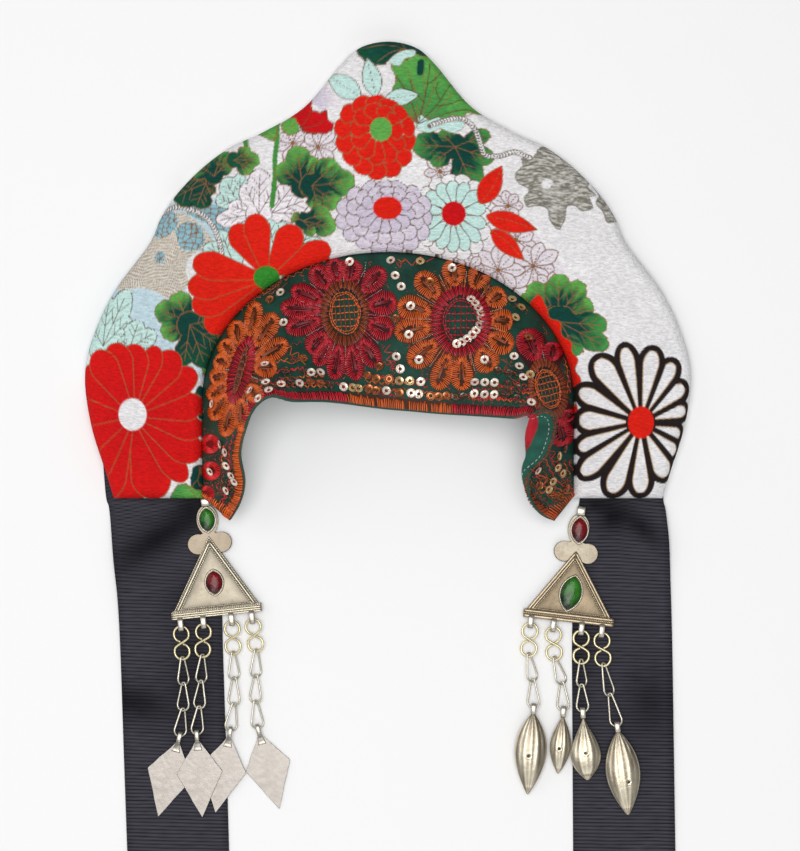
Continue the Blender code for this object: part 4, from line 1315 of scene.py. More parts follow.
def band_profile(reach, rise, belly, dip, hem, count):
    """Points across the band from the seam to the free edge: plan distance and height over the seam."""
    chord = math.hypot(reach, rise)
    slope = math.atan2(rise, reach)
    bow = math.radians(belly)
    bowed = chord * bow / math.sin(bow)
    end = slope - bow
    turn = math.radians(BAND_ROLL_END) - end
    length = np.linspace(0, bowed + hem, count)
    share = np.clip(length / bowed, 0, 1)
    distance = bowed / bow * np.sin(bow * share)
    heading = slope + bow - bow * share
    hollow = dip * np.sin(math.pi * share) ** 2
    x = distance * np.cos(heading) + hollow * math.sin(slope)
    z = distance * np.sin(heading) - hollow * math.cos(slope)
    past = np.clip(length - bowed, 0, None)
    turned = np.minimum(past, BAND_ROLL_RADIUS * turn) / BAND_ROLL_RADIUS
    straight = np.clip(past - BAND_ROLL_RADIUS * turn, 0, None)
    turned = end + turned
    rolled_x = reach + BAND_ROLL_RADIUS * (np.sin(turned) - math.sin(end)) + straight * np.cos(turned)
    rolled_z = rise + BAND_ROLL_RADIUS * (math.cos(end) - np.cos(turned)) + straight * np.sin(turned)
    return np.where(past > 0, rolled_x, x), np.where(past > 0, rolled_z, z), bowed + hem


def band_grid(steps, columns):
    """The band's middle surface as rows of points from seam to hem, and the rows' widths and places."""
    edge = arch_edge()
    rows = smooth(BAND_SECTIONS, steps)
    seams = rows[:, 0]
    along = unit(points_along(edge, seams + 1.0) - points_along(edge, seams - 1.0))
    starts = points_along(edge, seams) + np.column_stack([along[:, 1], -along[:, 0]]) * BAND_SEAM_INSET
    points = []
    widths = []
    for (heading, reach, rise, belly, dip, hem), (start_x, start_y) in zip(rows[:, 1:], starts):
        level = back_height(start_y) + BAND_SEAM_LIFT
        turn = math.radians(heading)
        out, up, width = band_profile(reach, rise - level, belly, dip, max(hem, 0.0), columns)
        x = start_x + math.cos(turn) * out
        y = start_y + math.sin(turn) * out
        points.append(np.column_stack([x, y, level + up]))
        widths.append(width)
    return np.array(points), np.array(widths), seams


class BandSurface:
    """The band's middle surface as a grid of points, with what is seen of it in the photo."""

    def __init__(self, steps, columns):
        self.points, self.widths, self.seams = band_grid(steps, columns)
        self.rows, self.columns = self.points.shape[:2]
        self.last = self.columns - 1
        self.normals = unit(np.cross(np.gradient(self.points, axis=1), np.gradient(self.points, axis=0)))
        self.seen = on_photo(self.points + self.normals * BAND_HALF_THICKNESS)
        self.seen_by_row = np.gradient(self.seen, axis=0)
        self.seen_by_column = np.gradient(self.seen, axis=1)
        self.front = np.argwhere(self.normals[..., 2] > 0.05)
        self.tree = kdtree.KDTree(len(self.front))
        for number, (row, column) in enumerate(self.front):
            self.tree.insert((*self.seen[row, column], 0.0), number)
        self.tree.balance()

    def lengths(self, column):
        """How far along a column each row is."""
        return lengths_along(self.points[:, column])

    def row_at(self, places, lengths):
        """Fractional rows at places along a column."""
        return np.interp(places, lengths, np.arange(self.rows))

    def of_row(self, values, rows):
        """What the values of whole rows are at fractional ones."""
        return np.interp(rows, np.arange(self.rows), values)

    def at(self, row, column, lift=BAND_HALF_THICKNESS):
        """Points and normals at fractional rows and columns, this far over the middle surface."""
        row = np.clip(row, 0, self.rows - 1.001)
        column = np.clip(column, 0, self.columns - 1.001)
        i = row.astype(int)
        j = column.astype(int)
        u = (row - i)[:, None]
        v = (column - j)[:, None]

        def between(grid):
            upper = grid[i, j] * (1 - v) + grid[i, j + 1] * v
            lower = grid[i + 1, j] * (1 - v) + grid[i + 1, j + 1] * v
            return upper * (1 - u) + lower * u

        normals = unit(between(self.normals))
        return between(self.points) + normals * lift, normals

    def under(self, pixels):
        """Points and normals of the front that these pixels of the photo show, and how far off each is."""
        rows = []
        columns = []
        misses = []
        for x, y in pixels:
            _, number, miss = self.tree.find((x, y, 0.0))
            i, j = self.front[number]
            matrix = np.column_stack([self.seen_by_row[i, j], self.seen_by_column[i, j]])
            step = np.array([x, y]) - self.seen[i, j]
            if abs(np.linalg.det(matrix)) > 1e-6:
                move = np.clip(np.linalg.solve(matrix, step), -1, 1)
            else:
                move = np.zeros(2)
            rows.append(i + move[0])
            columns.append(j + move[1])
            misses.append(miss)
        points, normals = self.at(np.array(rows), np.array(columns))
        return points, normals, np.array(misses)


# A thread's section, across and up. Rings of a stitch: place along it, lift and width as shares of the
# thread's width
STITCH_SECTION = ((0.0, 1.0), (0.8, 0.0), (0.0, -1.0), (-0.8, 0.0))
STITCH_PROFILE = (
    (0.0, -0.5, 0.6), (0.15, 0.2, 0.95), (0.5, 0.42, 1.0), (0.85, 0.2, 0.95), (1.0, -0.5, 0.6),
)
LOOSE_PROFILE = ((0.0, -0.5, 0.6), (0.5, 0.42, 1.0), (1.0, -0.5, 0.6))


def repeated(faces, count, size):
    """The faces of one small mesh, repeated for this many copies of its points."""
    return (faces[None, :, :] + (np.arange(count) * size)[:, None, None]).reshape(-1, 4)


class Threads:
    """Stitches, each from one point over a middle to another, built as one mesh of short threads."""

    def __init__(self, surface, seed, profile):
        self.surface = surface
        self.profile = profile
        self.random = np.random.RandomState(seed)
        self.stitches = []

    def add(self, starts, middles, ends, normals, colour, width=STITCH_WIDTH, vary=0.22):
        colours = rgb(colour) * (1 + self.random.uniform(-vary, vary, (len(starts), 1)))
        self.stitches.append((starts, middles, ends, normals, colours, np.full(len(starts), width)))

    def across(self, starts, ends, colour, width=STITCH_WIDTH, vary=0.22):
        """Stitches between pixels of the photo."""
        starts = np.asarray(starts, float)
        ends = np.asarray(ends, float)
        first, _, off_start = self.surface.under(starts)
        last, _, off_end = self.surface.under(ends)
        middle, normals, _ = self.surface.under((starts + ends) / 2)
        near = (off_start < 2.0) & (off_end < 2.0) & (np.linalg.norm(last - first, axis=1) < 14.0)
        self.add(first[near], middle[near], last[near], normals[near], colour, width, vary)

    def run(self, corners, colour, width=STITCH_WIDTH):
        corners = np.asarray(corners, float)
        self.across(corners[:-1], corners[1:], colour, width)

    def build(self, name, material):
        columns = (np.concatenate(part) for part in zip(*self.stitches))
        starts, middles, ends, normals, colours, widths = columns
        side = unit(np.cross(unit(ends - starts, 1e-9), normals), 1e-9)
        rings = []
        for t, lift, share in self.profile:
            bend = (1 - t) * (1 - 2 * t) * starts + 4 * t * (1 - t) * middles + t * (2 * t - 1) * ends
            centre = bend + normals * (widths * lift)[:, None]
            half = (widths * share / 2)[:, None]
            ring = [centre + side * half * across + normals * half * up for across, up in STITCH_SECTION]
            rings.append(np.stack(ring, axis=1))
        points = np.stack(rings, axis=1)
        count, rows, sides = points.shape[:3]
        faces = repeated(grid_faces(rows, sides, ring=True), count, rows * sides)
        shades = np.repeat(np.clip(colours, 0, 1), rows * sides, axis=0)
        return make_mesh(name, points, faces, material, shades)


def spaced(corners, surface, pitch):
    """Pixels along a line so that the stitches there are this far apart on the cloth."""
    corners = np.asarray(corners, float)
    points, _, _ = surface.under(corners)
    lengths = lengths_along(points)
    count = max(int(lengths[-1] / pitch), 3)
    wanted = np.linspace(0, lengths[-1], count)
    return np.stack([np.interp(wanted, lengths, corners[:, axis]) for axis in (0, 1)], axis=1)


def leaning(across, down, lean):
    """Offsets turned by this many degrees."""
    angle = math.radians(lean)
    x = across * math.cos(angle) - down * math.sin(angle)
    y = across * math.sin(angle) + down * math.cos(angle)
    return np.stack([x, y], axis=-1)


def flower_oval(flower, part, turns, share=1.0):
    """Pixels on the ring or core of a flower, or at a share of it, at these turns."""
    across, down = flower[part]
    out = leaning(across * np.cos(turns), down * np.sin(turns), flower["lean"])
    return flower["centre"] + out * share


def ring_turns(flower, pixels):
    """The turns of a flower's ring at which these pixels lie."""
    out = np.asarray(pixels, float) - flower["centre"]
    turned = leaning(out[..., 0], out[..., 1], -flower["lean"])
    return np.arctan2(turned[..., 1] / flower["ring"][1], turned[..., 0] / flower["ring"][0])


def petal_outline(base, axis, half_width, sideways):
    """Pixels all the way round a petal."""
    turns = np.linspace(0.0, math.pi, PETAL_CORNERS)
    shares = (1 - np.cos(turns)) / 2
    share = np.concatenate([shares, shares[::-1]])
    profile = half_width * np.sqrt(np.clip(1 - (2 * share - 1) ** 2, 0, 1)) * (0.72 + 0.36 * share)
    profile[PETAL_CORNERS:] *= -1
    return base + share[:, None] * axis + profile[:, None] * sideways


def stitch_petal(threads, base, tip, half_width, colour):
    """Stitches from a petal's outline in to its middle, all the way round, and a few along its middle."""
    base = np.asarray(base, float)
    axis = np.asarray(tip, float) - base
    sideways = np.array([-axis[1], axis[0]]) / np.linalg.norm(axis)
    edge = spaced(petal_outline(base, axis, half_width, sideways), threads.surface, STITCH_PITCH)
    share = np.clip((edge - base) @ axis / (axis @ axis), 0, 1)
    spine = base + (0.2 + 0.6 * share)[:, None] * axis
    inward = edge + (spine - edge) * threads.random.uniform(0.62, 0.92, (len(edge), 1))
    edge = edge + threads.random.uniform(-0.35, 0.35, edge.shape)
    threads.across(edge, inward, colour)
    lines = threads.random.uniform(-0.12, 0.12, (5, 1)) * half_width * sideways
    threads.across(base + axis * 0.2 + lines, base + axis * 0.72 + lines * 2, darker(colour, 0.62))


def darker(colour, share):
    return tuple(channel * share for channel in colour)


def stitch_flower(threads, flower):
    """A flower's petals, the gaps between them, its ring, and the net over its core."""
    petals = []
    for x, y, half_width in flower["petals"]:
        tip = np.array([x, y], float)
        base = flower_oval(flower, "ring", ring_turns(flower, tip), 0.95)
        stitch_petal(threads, base, tip, half_width * PETAL_SPREAD, flower["petal_thread"])
        petals.append((base, tip))
    for petal, following in zip(petals, petals[1:] + petals[:1]):
        stitch_gap(threads, petal, following, flower["petal_thread"])
    stitch_ring(threads, flower)
    stitch_net(threads, flower)


def stitch_gap(threads, petal, following, colour):
    """White dashes and a fan of threads between two petals that are near each other."""
    base, tip = petal
    next_base, next_tip = following
    if np.linalg.norm(tip - next_tip) >= WIDEST_GAP:
        return
    start = (base + next_base) / 2
    beyond = (tip + next_tip) / 2
    end = start * 0.35 + beyond * 0.65
    dots = np.linspace(start, end, max(int(np.linalg.norm(end - start) / 1.5) * 2, 4))
    threads.across(dots[:-1:2], dots[1::2], WHITE_THREAD, width=0.42)
    fan = threads.random.uniform(-1, 1, (9, 1)) * (next_base - base) * 0.45
    starts = start + fan
    ends = starts * 0.55 + (beyond + fan * 2.4) * 0.45
    knees = (starts + ends) / 2 + threads.random.uniform(-0.6, 0.6, starts.shape)
    for first, last in ((starts, knees), (knees, ends)):
        threads.across(first, last, darker(colour, 0.78), width=0.6, vary=0.35)


def stitch_ring(threads, flower):
    """Stitches from a flower's ring in to its core, every third one dark."""
    outline = flower_oval(flower, "ring", np.linspace(0, 2 * math.pi, 241))
    outer = spaced(outline, threads.surface, STITCH_PITCH * 0.82)
    inner = flower_oval(flower, "core", ring_turns(flower, outer))
    inner = inner + (inner - flower["centre"]) * threads.random.uniform(-0.06, 0.12, (len(inner), 1))
    dark = np.arange(len(outer)) % 3 == 0
    threads.across(outer[~dark], inner[~dark], flower["ring_thread"], vary=0.3)
    threads.across(outer[dark], inner[dark], darker(flower["ring_thread"], 0.62), vary=0.3)


def stitch_net(threads, flower):
    """Threads twice round a flower's core, and a net across it."""
    thread = flower["net_thread"]
    for share in (0.94, 0.84):
        rim = flower_oval(flower, "core", np.linspace(0, 2 * math.pi, 34), share)
        threads.run(rim + threads.random.uniform(-0.7, 0.7, rim.shape), thread)
    radii = np.array(flower["core"])
    for step in np.linspace(-0.6, 0.6, 5):
        half = math.sqrt(1 - step**2) * 0.82
        level = np.linspace((-half, step), (half, step), 7) * radii
        upright = np.linspace((step, -half), (step, half), 7) * radii
        for line, colour in ((level, thread), (upright, darker(thread, 0.6))):
            corners = flower["centre"] + leaning(line[:, 0], line[:, 1], flower["lean"])
            threads.run(corners + threads.random.uniform(-0.4, 0.4, corners.shape), colour)


def stitch_small_flower(threads, x, y, radius):
    """Stitches from a circle in to its middle."""
    centre = np.array([x, y], float)
    turns = np.linspace(0, 2 * math.pi, 61)
    outline = centre + radius * np.column_stack([np.cos(turns), np.sin(turns)])
    outer = spaced(outline, threads.surface, STITCH_PITCH)
    inner = centre + (outer - centre) * threads.random.uniform(0.3, 0.42, (len(outer), 1))
    threads.across(outer, inner, SCARLET_THREAD, vary=0.3)


def wave(first, last, waves):
    """Corners of a wavy thread from one pixel to another."""
    corners = np.linspace(first, last, waves * 4 + 1)
    along = unit(corners[-1] - corners[0])
    swing = WAVE_HEIGHT * np.sin(np.arange(len(corners)) * math.pi / 2)
    return corners + swing[:, None] * np.array([-along[1], along[0]])


def hem_colour(seam):
    """The colour of the hem's stitches at this place on the seam."""
    passed = [thread for start, thread in HEM_THREADS if seam >= start]
    return passed[-1] if passed else HEM_THREADS[0][1]


def stitch_hem(threads, surface):
    """Buttonhole stitches over the free edge, each out to it and back under it."""
    random = threads.random
    lengths = surface.lengths(surface.last)
    rows = surface.row_at(np.arange(0, lengths[-1], STITCH_PITCH * 0.84), lengths)
    count = len(rows)
    widths = surface.of_row(surface.widths, rows)
    seams = surface.of_row(surface.seams, rows)
    rows = rows + random.uniform(-0.3, 0.3, count) / BAND_ROW_PITCH
    depth = np.minimum(HEM_DEPTH * random.uniform(0.8, 1.05, count), widths * 0.3)
    slant = random.uniform(-0.7, 0.7, count) / BAND_ROW_PITCH
    under = HEM_UNDER * random.uniform(0.6, 1.1, count)
    starts, _ = surface.at(rows + slant, surface.last * (1 - depth / widths))
    middles, normals = surface.at(rows, surface.last * (1 - depth / widths / 2))
    ends, _ = surface.at(rows, np.full(count, float(surface.last)), 0.35)
    backs, _ = surface.at(rows, surface.last * (1 - under / widths), -BAND_HALF_THICKNESS - 0.1)
    turns, _ = surface.at(rows, surface.last * (1 - under / widths / 2), -BAND_HALF_THICKNESS - 0.25)
    whole = np.all(np.abs(seams - np.array(HEM_GAPS)[:, None]) > HEM_GAP_WIDTH / 2, axis=0)
    followings = [start for start, _ in HEM_THREADS[1:]] + [FAR]
    for (start, colour), following in zip(HEM_THREADS, followings):
        pick = whole & (seams >= start) & (seams < following)
        threads.add(starts[pick], middles[pick], ends[pick], normals[pick], colour, vary=0.3)
        threads.add(backs[pick], turns[pick], ends[pick], -normals[pick], darker(colour, 0.85), vary=0.3)


def stitch_end(threads, surface, row, inward, colour):
    """Long stitches inward from one end of the band."""
    columns = np.arange(0, surface.last, surface.last * STITCH_PITCH / surface.widths[row])
    rows = np.full(len(columns), float(row))
    depth = threads.random.uniform(8, 11.5, len(columns)) * inward / BAND_ROW_PITCH
    starts, _ = surface.at(rows, columns, 0.35)
    middles, normals = surface.at(rows + depth / 2, columns)
    ends, _ = surface.at(rows + depth, columns)
    threads.add(starts, middles + normals * 0.5, ends, normals, colour, width=0.95, vary=0.4)


def bare(pixels, spread):
    """Which pixels of the photo show the green ground between flowers with petals as wide as this share."""
    free = np.ones(len(pixels), bool)
    for flower in EMBROIDERED_FLOWERS:
        centre = np.array(flower["centre"], float)
        for x, y, half_width in flower["petals"]:
            axis = np.array([x, y]) - centre
            share = np.clip((pixels - centre) @ axis / (axis @ axis), 0, 1)
            away = np.linalg.norm(pixels - centre - share[:, None] * axis, axis=1)
            free &= away > half_width * PETAL_SPREAD * spread + 1
    for x, y, radius in SMALL_FLOWERS:
        free &= np.hypot(pixels[:, 0] - x, pixels[:, 1] - y) > radius + 1
    return free


def stitch_row(threads, surface, number, depth, by_hem):
    """A wavy row of loose thread over the green ground, this far in from the hem."""
    lengths = surface.lengths(surface.last // 2)
    places = np.arange(threads.random.uniform(0, 2), lengths[-1], 1.75)
    rows = surface.row_at(places, lengths)
    wander = 1.5 * noise(places / 14.0, np.full(len(rows), number * 3.7), 35)
    off = depth + np.where(np.arange(len(rows)) % 2, 0.8, -0.8) + wander
    columns = surface.last * (1 - off / surface.of_row(surface.widths, rows))
    points, normals = surface.at(rows, columns)
    keep = noise(places / 9.0, np.full(len(rows), number * 5.3), 37) > (-0.5 if by_hem else -0.3)
    keep &= (columns > 2.5) & bare(on_photo(points), 0.6 if by_hem else 0.95)
    keep = keep[:-1] & keep[1:] & (normals[:-1, 2] > 0.02)
    kinds = np.floor((places[:-1] + number * 37.0) / 23.0).astype(int) * 7 % len(GROUND_THREADS)
    middles = (points[1:] + points[:-1]) / 2
    width = 0.7 if by_hem else 0.55
    for kind, colour in enumerate(GROUND_THREADS):
        use = np.nonzero(keep & (kinds == kind))[0]
        threads.add(points[use], middles[use], points[use + 1], normals[use], colour, width, vary=0.35)


def stitch_ground(threads, surface):
    """Rows of thread from hem to seam, the first ones close together."""
    for number, depth in enumerate(HEM_ROWS):
        stitch_row(threads, surface, number, depth, True)
    for number, depth in enumerate(np.arange(*GROUND_ROWS), len(HEM_ROWS)):
        stitch_row(threads, surface, number, depth, False)


def stitch_loose(threads, surface):
    """Short loose threads scattered over the green ground."""
    random = threads.random
    rows = random.uniform(2, surface.rows - 3, LOOSE_COUNT)
    columns = random.uniform(0.06, 0.92, LOOSE_COUNT) * surface.last
    turns = random.uniform(0, 2 * math.pi, LOOSE_COUNT)
    reach = random.uniform(0.6, 1.3, LOOSE_COUNT)
    row_step = reach * np.cos(turns) / BAND_ROW_PITCH
    column_step = reach * np.sin(turns) * surface.last / surface.of_row(surface.widths, rows)
    starts, _ = surface.at(rows - row_step, columns - column_step)
    middles, normals = surface.at(rows, columns)
    ends, _ = surface.at(rows + row_step, columns + column_step)
    free = bare(on_photo(middles), 0.85) & (np.linalg.norm(ends - starts, axis=1) < 5)
    for kind, colour in enumerate(LOOSE_THREADS):
        use = free & (np.arange(LOOSE_COUNT) % len(LOOSE_THREADS) == kind)
        threads.add(starts[use], middles[use], ends[use], normals[use], colour, width=0.42, vary=0.4)


def stitch_lining(threads, surface):
    """A running stitch of silver thread along the lining's edge."""
    lengths = surface.lengths(surface.last)
    places = np.arange(2.0, lengths[-1] - 2.0, 2.6)
    rows = surface.row_at(places, lengths)
    columns = surface.last * (1 - 4.2 / surface.of_row(surface.widths, rows))
    starts, normals = surface.at(rows, columns, -BAND_HALF_THICKNESS)
    ends, _ = surface.at(surface.row_at(places + 1.7, lengths), columns, -BAND_HALF_THICKNESS)
    threads.add(starts, (starts + ends) / 2, ends, -normals, WHITE_THREAD, width=0.34)


def stitch_lines(threads):
    """The zigzags, wavy threads and rows of white dashes."""
    for colour, corners in ZIGZAGS:
        threads.run(corners, colour, width=0.5)
    for colour, first, last, waves in WAVY_THREADS:
        threads.run(wave(first, last, waves), colour, width=0.62)
    for first, last in WHITE_RUNS:
        dots = np.linspace(first, last, 12)
        threads.across(dots[:-1:2], dots[1::2], WHITE_THREAD, width=0.34)


def sequin_mesh(name, places, normals, colour, material, seed):
    """Cupped rings, one at each place, tilted a little from the cloth."""
    random = np.random.RandomState(seed)
    turns = np.linspace(0, 2 * math.pi, SEQUIN_SIDES, endpoint=False)[:, None]
    points = []
    for place, normal in zip(places, normals):
        tilted = unit(normal + random.uniform(-0.22, 0.22, 3))
        x = unit(np.cross(tilted, (0.3, 1.0, 0.1)))
        out = np.cos(turns) * x + np.sin(turns) * np.cross(tilted, x)
        for radius, height, _ in SEQUIN_RINGS:
            points.append(place + out * radius + tilted * (height + SEQUIN_LIFT))
    size = len(SEQUIN_RINGS) * SEQUIN_SIDES
    one = grid_faces(len(SEQUIN_RINGS) + 1, SEQUIN_SIDES, ring=True) % size
    shades = np.array([shade for _, _, shade in SEQUIN_RINGS])
    worn = random.uniform(0.75, 1.1, len(places))
    colours = rgb(colour) * (worn[:, None] * shades[None, :])[:, :, None]
    colours = np.repeat(colours.reshape(-1, 3), SEQUIN_SIDES, axis=0)
    return make_mesh(name, np.array(points), repeated(one, len(places), size), material, colours)


def fix_sequins(threads, pixels, colour):
    """Two stitches out of each sequin's hole and over its rim."""
    for x, y in pixels:
        first = threads.random.uniform(0, 2 * math.pi)
        for turn in (first, first + 2.6):
            aim = (x + math.cos(turn) * 5, y + math.sin(turn) * 5)
            points, normals, _ = threads.surface.under([(x, y), aim])
            along = unit(points[1] - points[0])
            start = points[0] + normals[0] * 0.85
            middle = points[0] + along * 1.5 + normals[0] * 1.25
            end = points[0] + along * 2.7 + normals[0] * 0.5
            threads.add(start[None], middle[None], end[None], normals[:1], colour, width=0.3)


def paint_band(surface):
    """The green cloth, darker under the embroidery, painted as the photo shows it."""
    cloth = Cloth(surface.seen.reshape(-1, 2), TEAL_CLOTH)
    turns = np.linspace(0, 2 * math.pi, 24, endpoint=False)
    # Painted shade under the petals, the rings and the small flowers, dark where it shows between their
    # stitches
    for flower in EMBROIDERED_FLOWERS:
        centre = np.array(flower["centre"], float)
        shade = darker(flower["petal_thread"], 0.3)
        for x, y, half_width in flower["petals"]:
            cloth.petal(centre, (x, y), half_width * PETAL_SPREAD, (shade, shade), widest=0.7)
        shade = darker(flower["ring_thread"], 0.24)
        cloth.blob(flower_oval(flower, "ring", turns), (shade, shade), centre)
        cloth.blob(flower_oval(flower, "core", turns), (TEAL_CLOTH, TEAL_SHADOW), centre)
    for x, y, radius in SMALL_FLOWERS:
        cloth.oval((x, y), (radius, radius), darker(SCARLET_THREAD, 0.5))
    x, y = cloth.places[:, 0], cloth.places[:, 1]
    # Painted sheen and shade in soft patches, over a small uneven tone
    patchy_tone_and_sheen = 1 + 0.4 * noise(x / 12, y / 12, 21) + 0.2 * noise(x / 1.6, y / 1.6, 22)
    colours = (cloth.colours * patchy_tone_and_sheen[:, None]).reshape(surface.rows, surface.columns, 3)
    share = np.arange(surface.columns)[None, :] / surface.last
    hem = surface.widths[:, None] * (1 - share) < HEM_DEPTH
    # Painted shade under the hem's stitches
    for row, seam in enumerate(surface.seams):
        colours[row, hem[row]] = rgb(darker(hem_colour(seam), 0.3))
    # Painted shadow along the seam, under the crest's edge
    colours *= 1 - 0.7 * np.exp(-((surface.widths[:, None] * share / 1.6) ** 2))[..., None]
    colours[:, -1] = rgb(TEAL_LINING)
    return colours


def paint_lining(surface):
    """The lining, lighter and darker in patches of painted shade, with crimson where the embroidery shows
    over its folded corner.
    """
    places = on_photo(surface.points - surface.normals * BAND_HALF_THICKNESS)
    cloth = Cloth(places.reshape(-1, 2), TEAL_LINING)
    x, y = cloth.places[:, 0], cloth.places[:, 1]
    # Painted light and shade in patches, as of its folds
    cloth.colours *= (1 + 0.3 * noise(x / 7, y / 7, 24) + 0.15 * noise(x / 1.5, y / 1.5, 25))[:, None]
    cloth.blob(LINING_CORNER, (CRIMSON_THREAD, darker(CRIMSON_THREAD, 0.7)), LINING_CORNER[0])
    return cloth.colours.reshape(surface.rows, surface.columns, 3)[:, ::-1]


def make_band_cloth(surface):
    """The band's cloth: its green front and its lining, shut at both ends."""
    front = surface.points + surface.normals * BAND_HALF_THICKNESS
    back = surface.points - surface.normals * BAND_HALF_THICKNESS
    both = np.concatenate([front, back[:, ::-1]], axis=1)
    colours = np.concatenate([paint_band(surface), paint_lining(surface)], axis=1).reshape(-1, 3)
    around = surface.columns * 2
    faces = grid_faces(surface.rows, around, ring=True)
    ends = (end_faces(around, 0, True), end_faces(around, (surface.rows - 1) * around, False))
    material = make_material("embroidered_cloth")
    return make_mesh("band_cloth", both, np.vstack([faces, *ends]), material, colours)


def make_sequins(threads):
    """The sequins of each kind, with the stitches that hold them."""
    pieces = []
    for number, (name, pixels, colour, roughness, metallic, thread) in enumerate(SEQUIN_KINDS):
        places, normals, _ = threads.surface.under(pixels)
        if pixels[-len(SEQUIN_ARC) :] == SEQUIN_ARC:
            middle, _, _ = threads.surface.under([SEQUIN_ARC_MIDDLE])
            normals[-len(SEQUIN_ARC) :] += 0.3 * unit(places[-len(SEQUIN_ARC) :] - middle)
        material = make_material(name, "sequins", {"Roughness": roughness, "Metallic": metallic})
        pieces.append(sequin_mesh(name, places, normals, colour, material, 41 + number))
        fix_sequins(threads, pixels, thread)
    return pieces


def make_band():
    """The embroidered band's pieces: its cloth first, then the sequins and the stitches."""
    coarser = 1
    surface = BandSurface(BAND_STEPS // coarser, BAND_COLUMNS // coarser)
    cloth = make_band_cloth(surface)
    petals = Threads(surface, 31, STITCH_PROFILE)
    for flower in EMBROIDERED_FLOWERS:
        stitch_flower(petals, flower)
    for small_flower in SMALL_FLOWERS:
        stitch_small_flower(petals, *small_flower)
    trim = Threads(surface, 32, STITCH_PROFILE)
    stitch_hem(trim, surface)
    stitch_end(trim, surface, 0, 1.0, ORANGE_THREAD)
    stitch_end(trim, surface, surface.rows - 1, -1.0, ROLL_THREAD)
    stitch_ground(trim, surface)
    stitch_lining(trim, surface)
    stitch_lines(trim)
    sequins = make_sequins(trim)
    ground = Threads(surface, 33, LOOSE_PROFILE)
    stitch_loose(ground, surface)
    thread = make_material("embroidery_thread")
    stitches = (("flowers", petals), ("trim", trim), ("ground", ground))
    return [cloth, *sequins, *(threads.build(f"stitched_{name}", thread) for name, threads in stitches)]


# Ribbons, as in the CAD part. A row for each level: height on the plan, left and right edge, lift of the
# outer edge
RIBBON_THICKNESS = 1.0
RIBBON_LIFTED_SHARE = 0.55
RIBBON_COLUMNS = 12
RIB_PITCH = 1.75
RIB_STEPS = 8
RIB_DEPTH = 0.16
RIBBONS = {
    "left": (
        (14.0, -141.0, -92.5, 0.0),
        (-21.0, -138.4, -90.2, 0.0),
        (-30.0, -136.4, -88.0, 0.6),
        (-54.0, -134.3, -84.6, 3.0),
        (-73.7, -132.3, -81.6, 2.2),
        (-100.0, -131.0, -80.8, 0.8),
        (-150.0, -129.4, -79.2, 0.0),
        (-191.3, -127.9, -78.0, 0.4),
        (-199.2, -127.6, -77.7, 0.4),
    ),
    "right": (
        (14.0, 95.0, 135.0, 0.0),
        (-21.0, 94.0, 134.7, 0.0),
        (-30.0, 92.9, 135.8, 2.2),
        (-45.0, 92.0, 137.4, 3.0),
        (-65.0, 91.0, 138.2, 1.4),
        (-93.3, 90.1, 139.1, 0.4),
        (-140.0, 90.3, 139.8, 0.8),
        (-191.0, 90.6, 140.6, 0.4),
        (-199.2, 90.7, 140.7, 0.3),
    ),
}
# How far the ribs slope down to the right at heights on the plan
RIB_SLOPES = {
    "left": ((-199.0, 0.02), (-110.0, 0.05), (-75.0, 0.04), (-50.0, 0.1), (-24.0, 0.2), (14.0, 0.2)),
    "right": ((-199.0, 0.02), (-110.0, 0.01), (-60.0, 0.03), (-24.0, 0.05), (14.0, 0.05)),
}
# Soft creases: from x, y to x, y, height, width
CREASES = {
    "left": (((-126.0, -24.0), (-108.0, -64.0), 0.7, 6.0), ((-104.0, -24.0), (-96.0, -46.0), 0.5, 5.0)),
    "right": (((112.0, -22.0), (98.0, -46.0), 0.8, 4.5), ((113.0, -22.0), (131.0, -42.0), 0.9, 5.0)),
}
# Soft dark folds: centre, half length and half width, turn in degrees, depth of the shade
FOLD_SHADES = {
    "left": (((-112.0, -43.0), (30.0, 8.5), 32.0, 0.92), ((-98.0, -70.0), (14.0, 8.0), 20.0, 0.35),
             ((-124.0, -124.0), (17.0, 9.0), -10.0, 0.8), ((-96.0, -29.0), (9.0, 9.0), 0.0, 0.7),
             ((-96.0, -112.0), (13.0, 34.0), 0.0, 0.55)),
    "right": (((110.0, -33.0), (9.0, 8.0), 30.0, 0.9), ((124.0, -38.0), (14.0, 5.5), -40.0, 0.8),
              ((102.0, -27.0), (9.0, 4.0), 0.0, 0.8), ((128.0, -124.0), (13.0, 20.0), 0.0, 0.6),
              ((93.0, -96.0), (8.0, 36.0), 0.0, 0.5)),
}
# Painted light on the ribs: the lit colour of their crests and the shaded colour of their grooves
LIT_RIB_CREST = (66, 65, 73)
SHADED_RIB_GROOVE = (9, 8, 10)
# Where the right ribbon's ribs are pinched up: x, y, height, half width, length
PINCH = (112.0, -22.0, 3.0, 9.0, 16.0)

# Pendants, as in the CAD part
ORIGIN = (0.0, 0.0, 0.0)
PLATE_BASE_Z = 1.3
SHEET_THICKNESS = 1.2
TRIANGLE_HALF_BASE = 21.2
FRAME_WIDTH = 3.4
FRAME_BASE_SHARE = 0.45
FRAME_FOOT = 0.4
HEAD_THICKNESS = 1.18
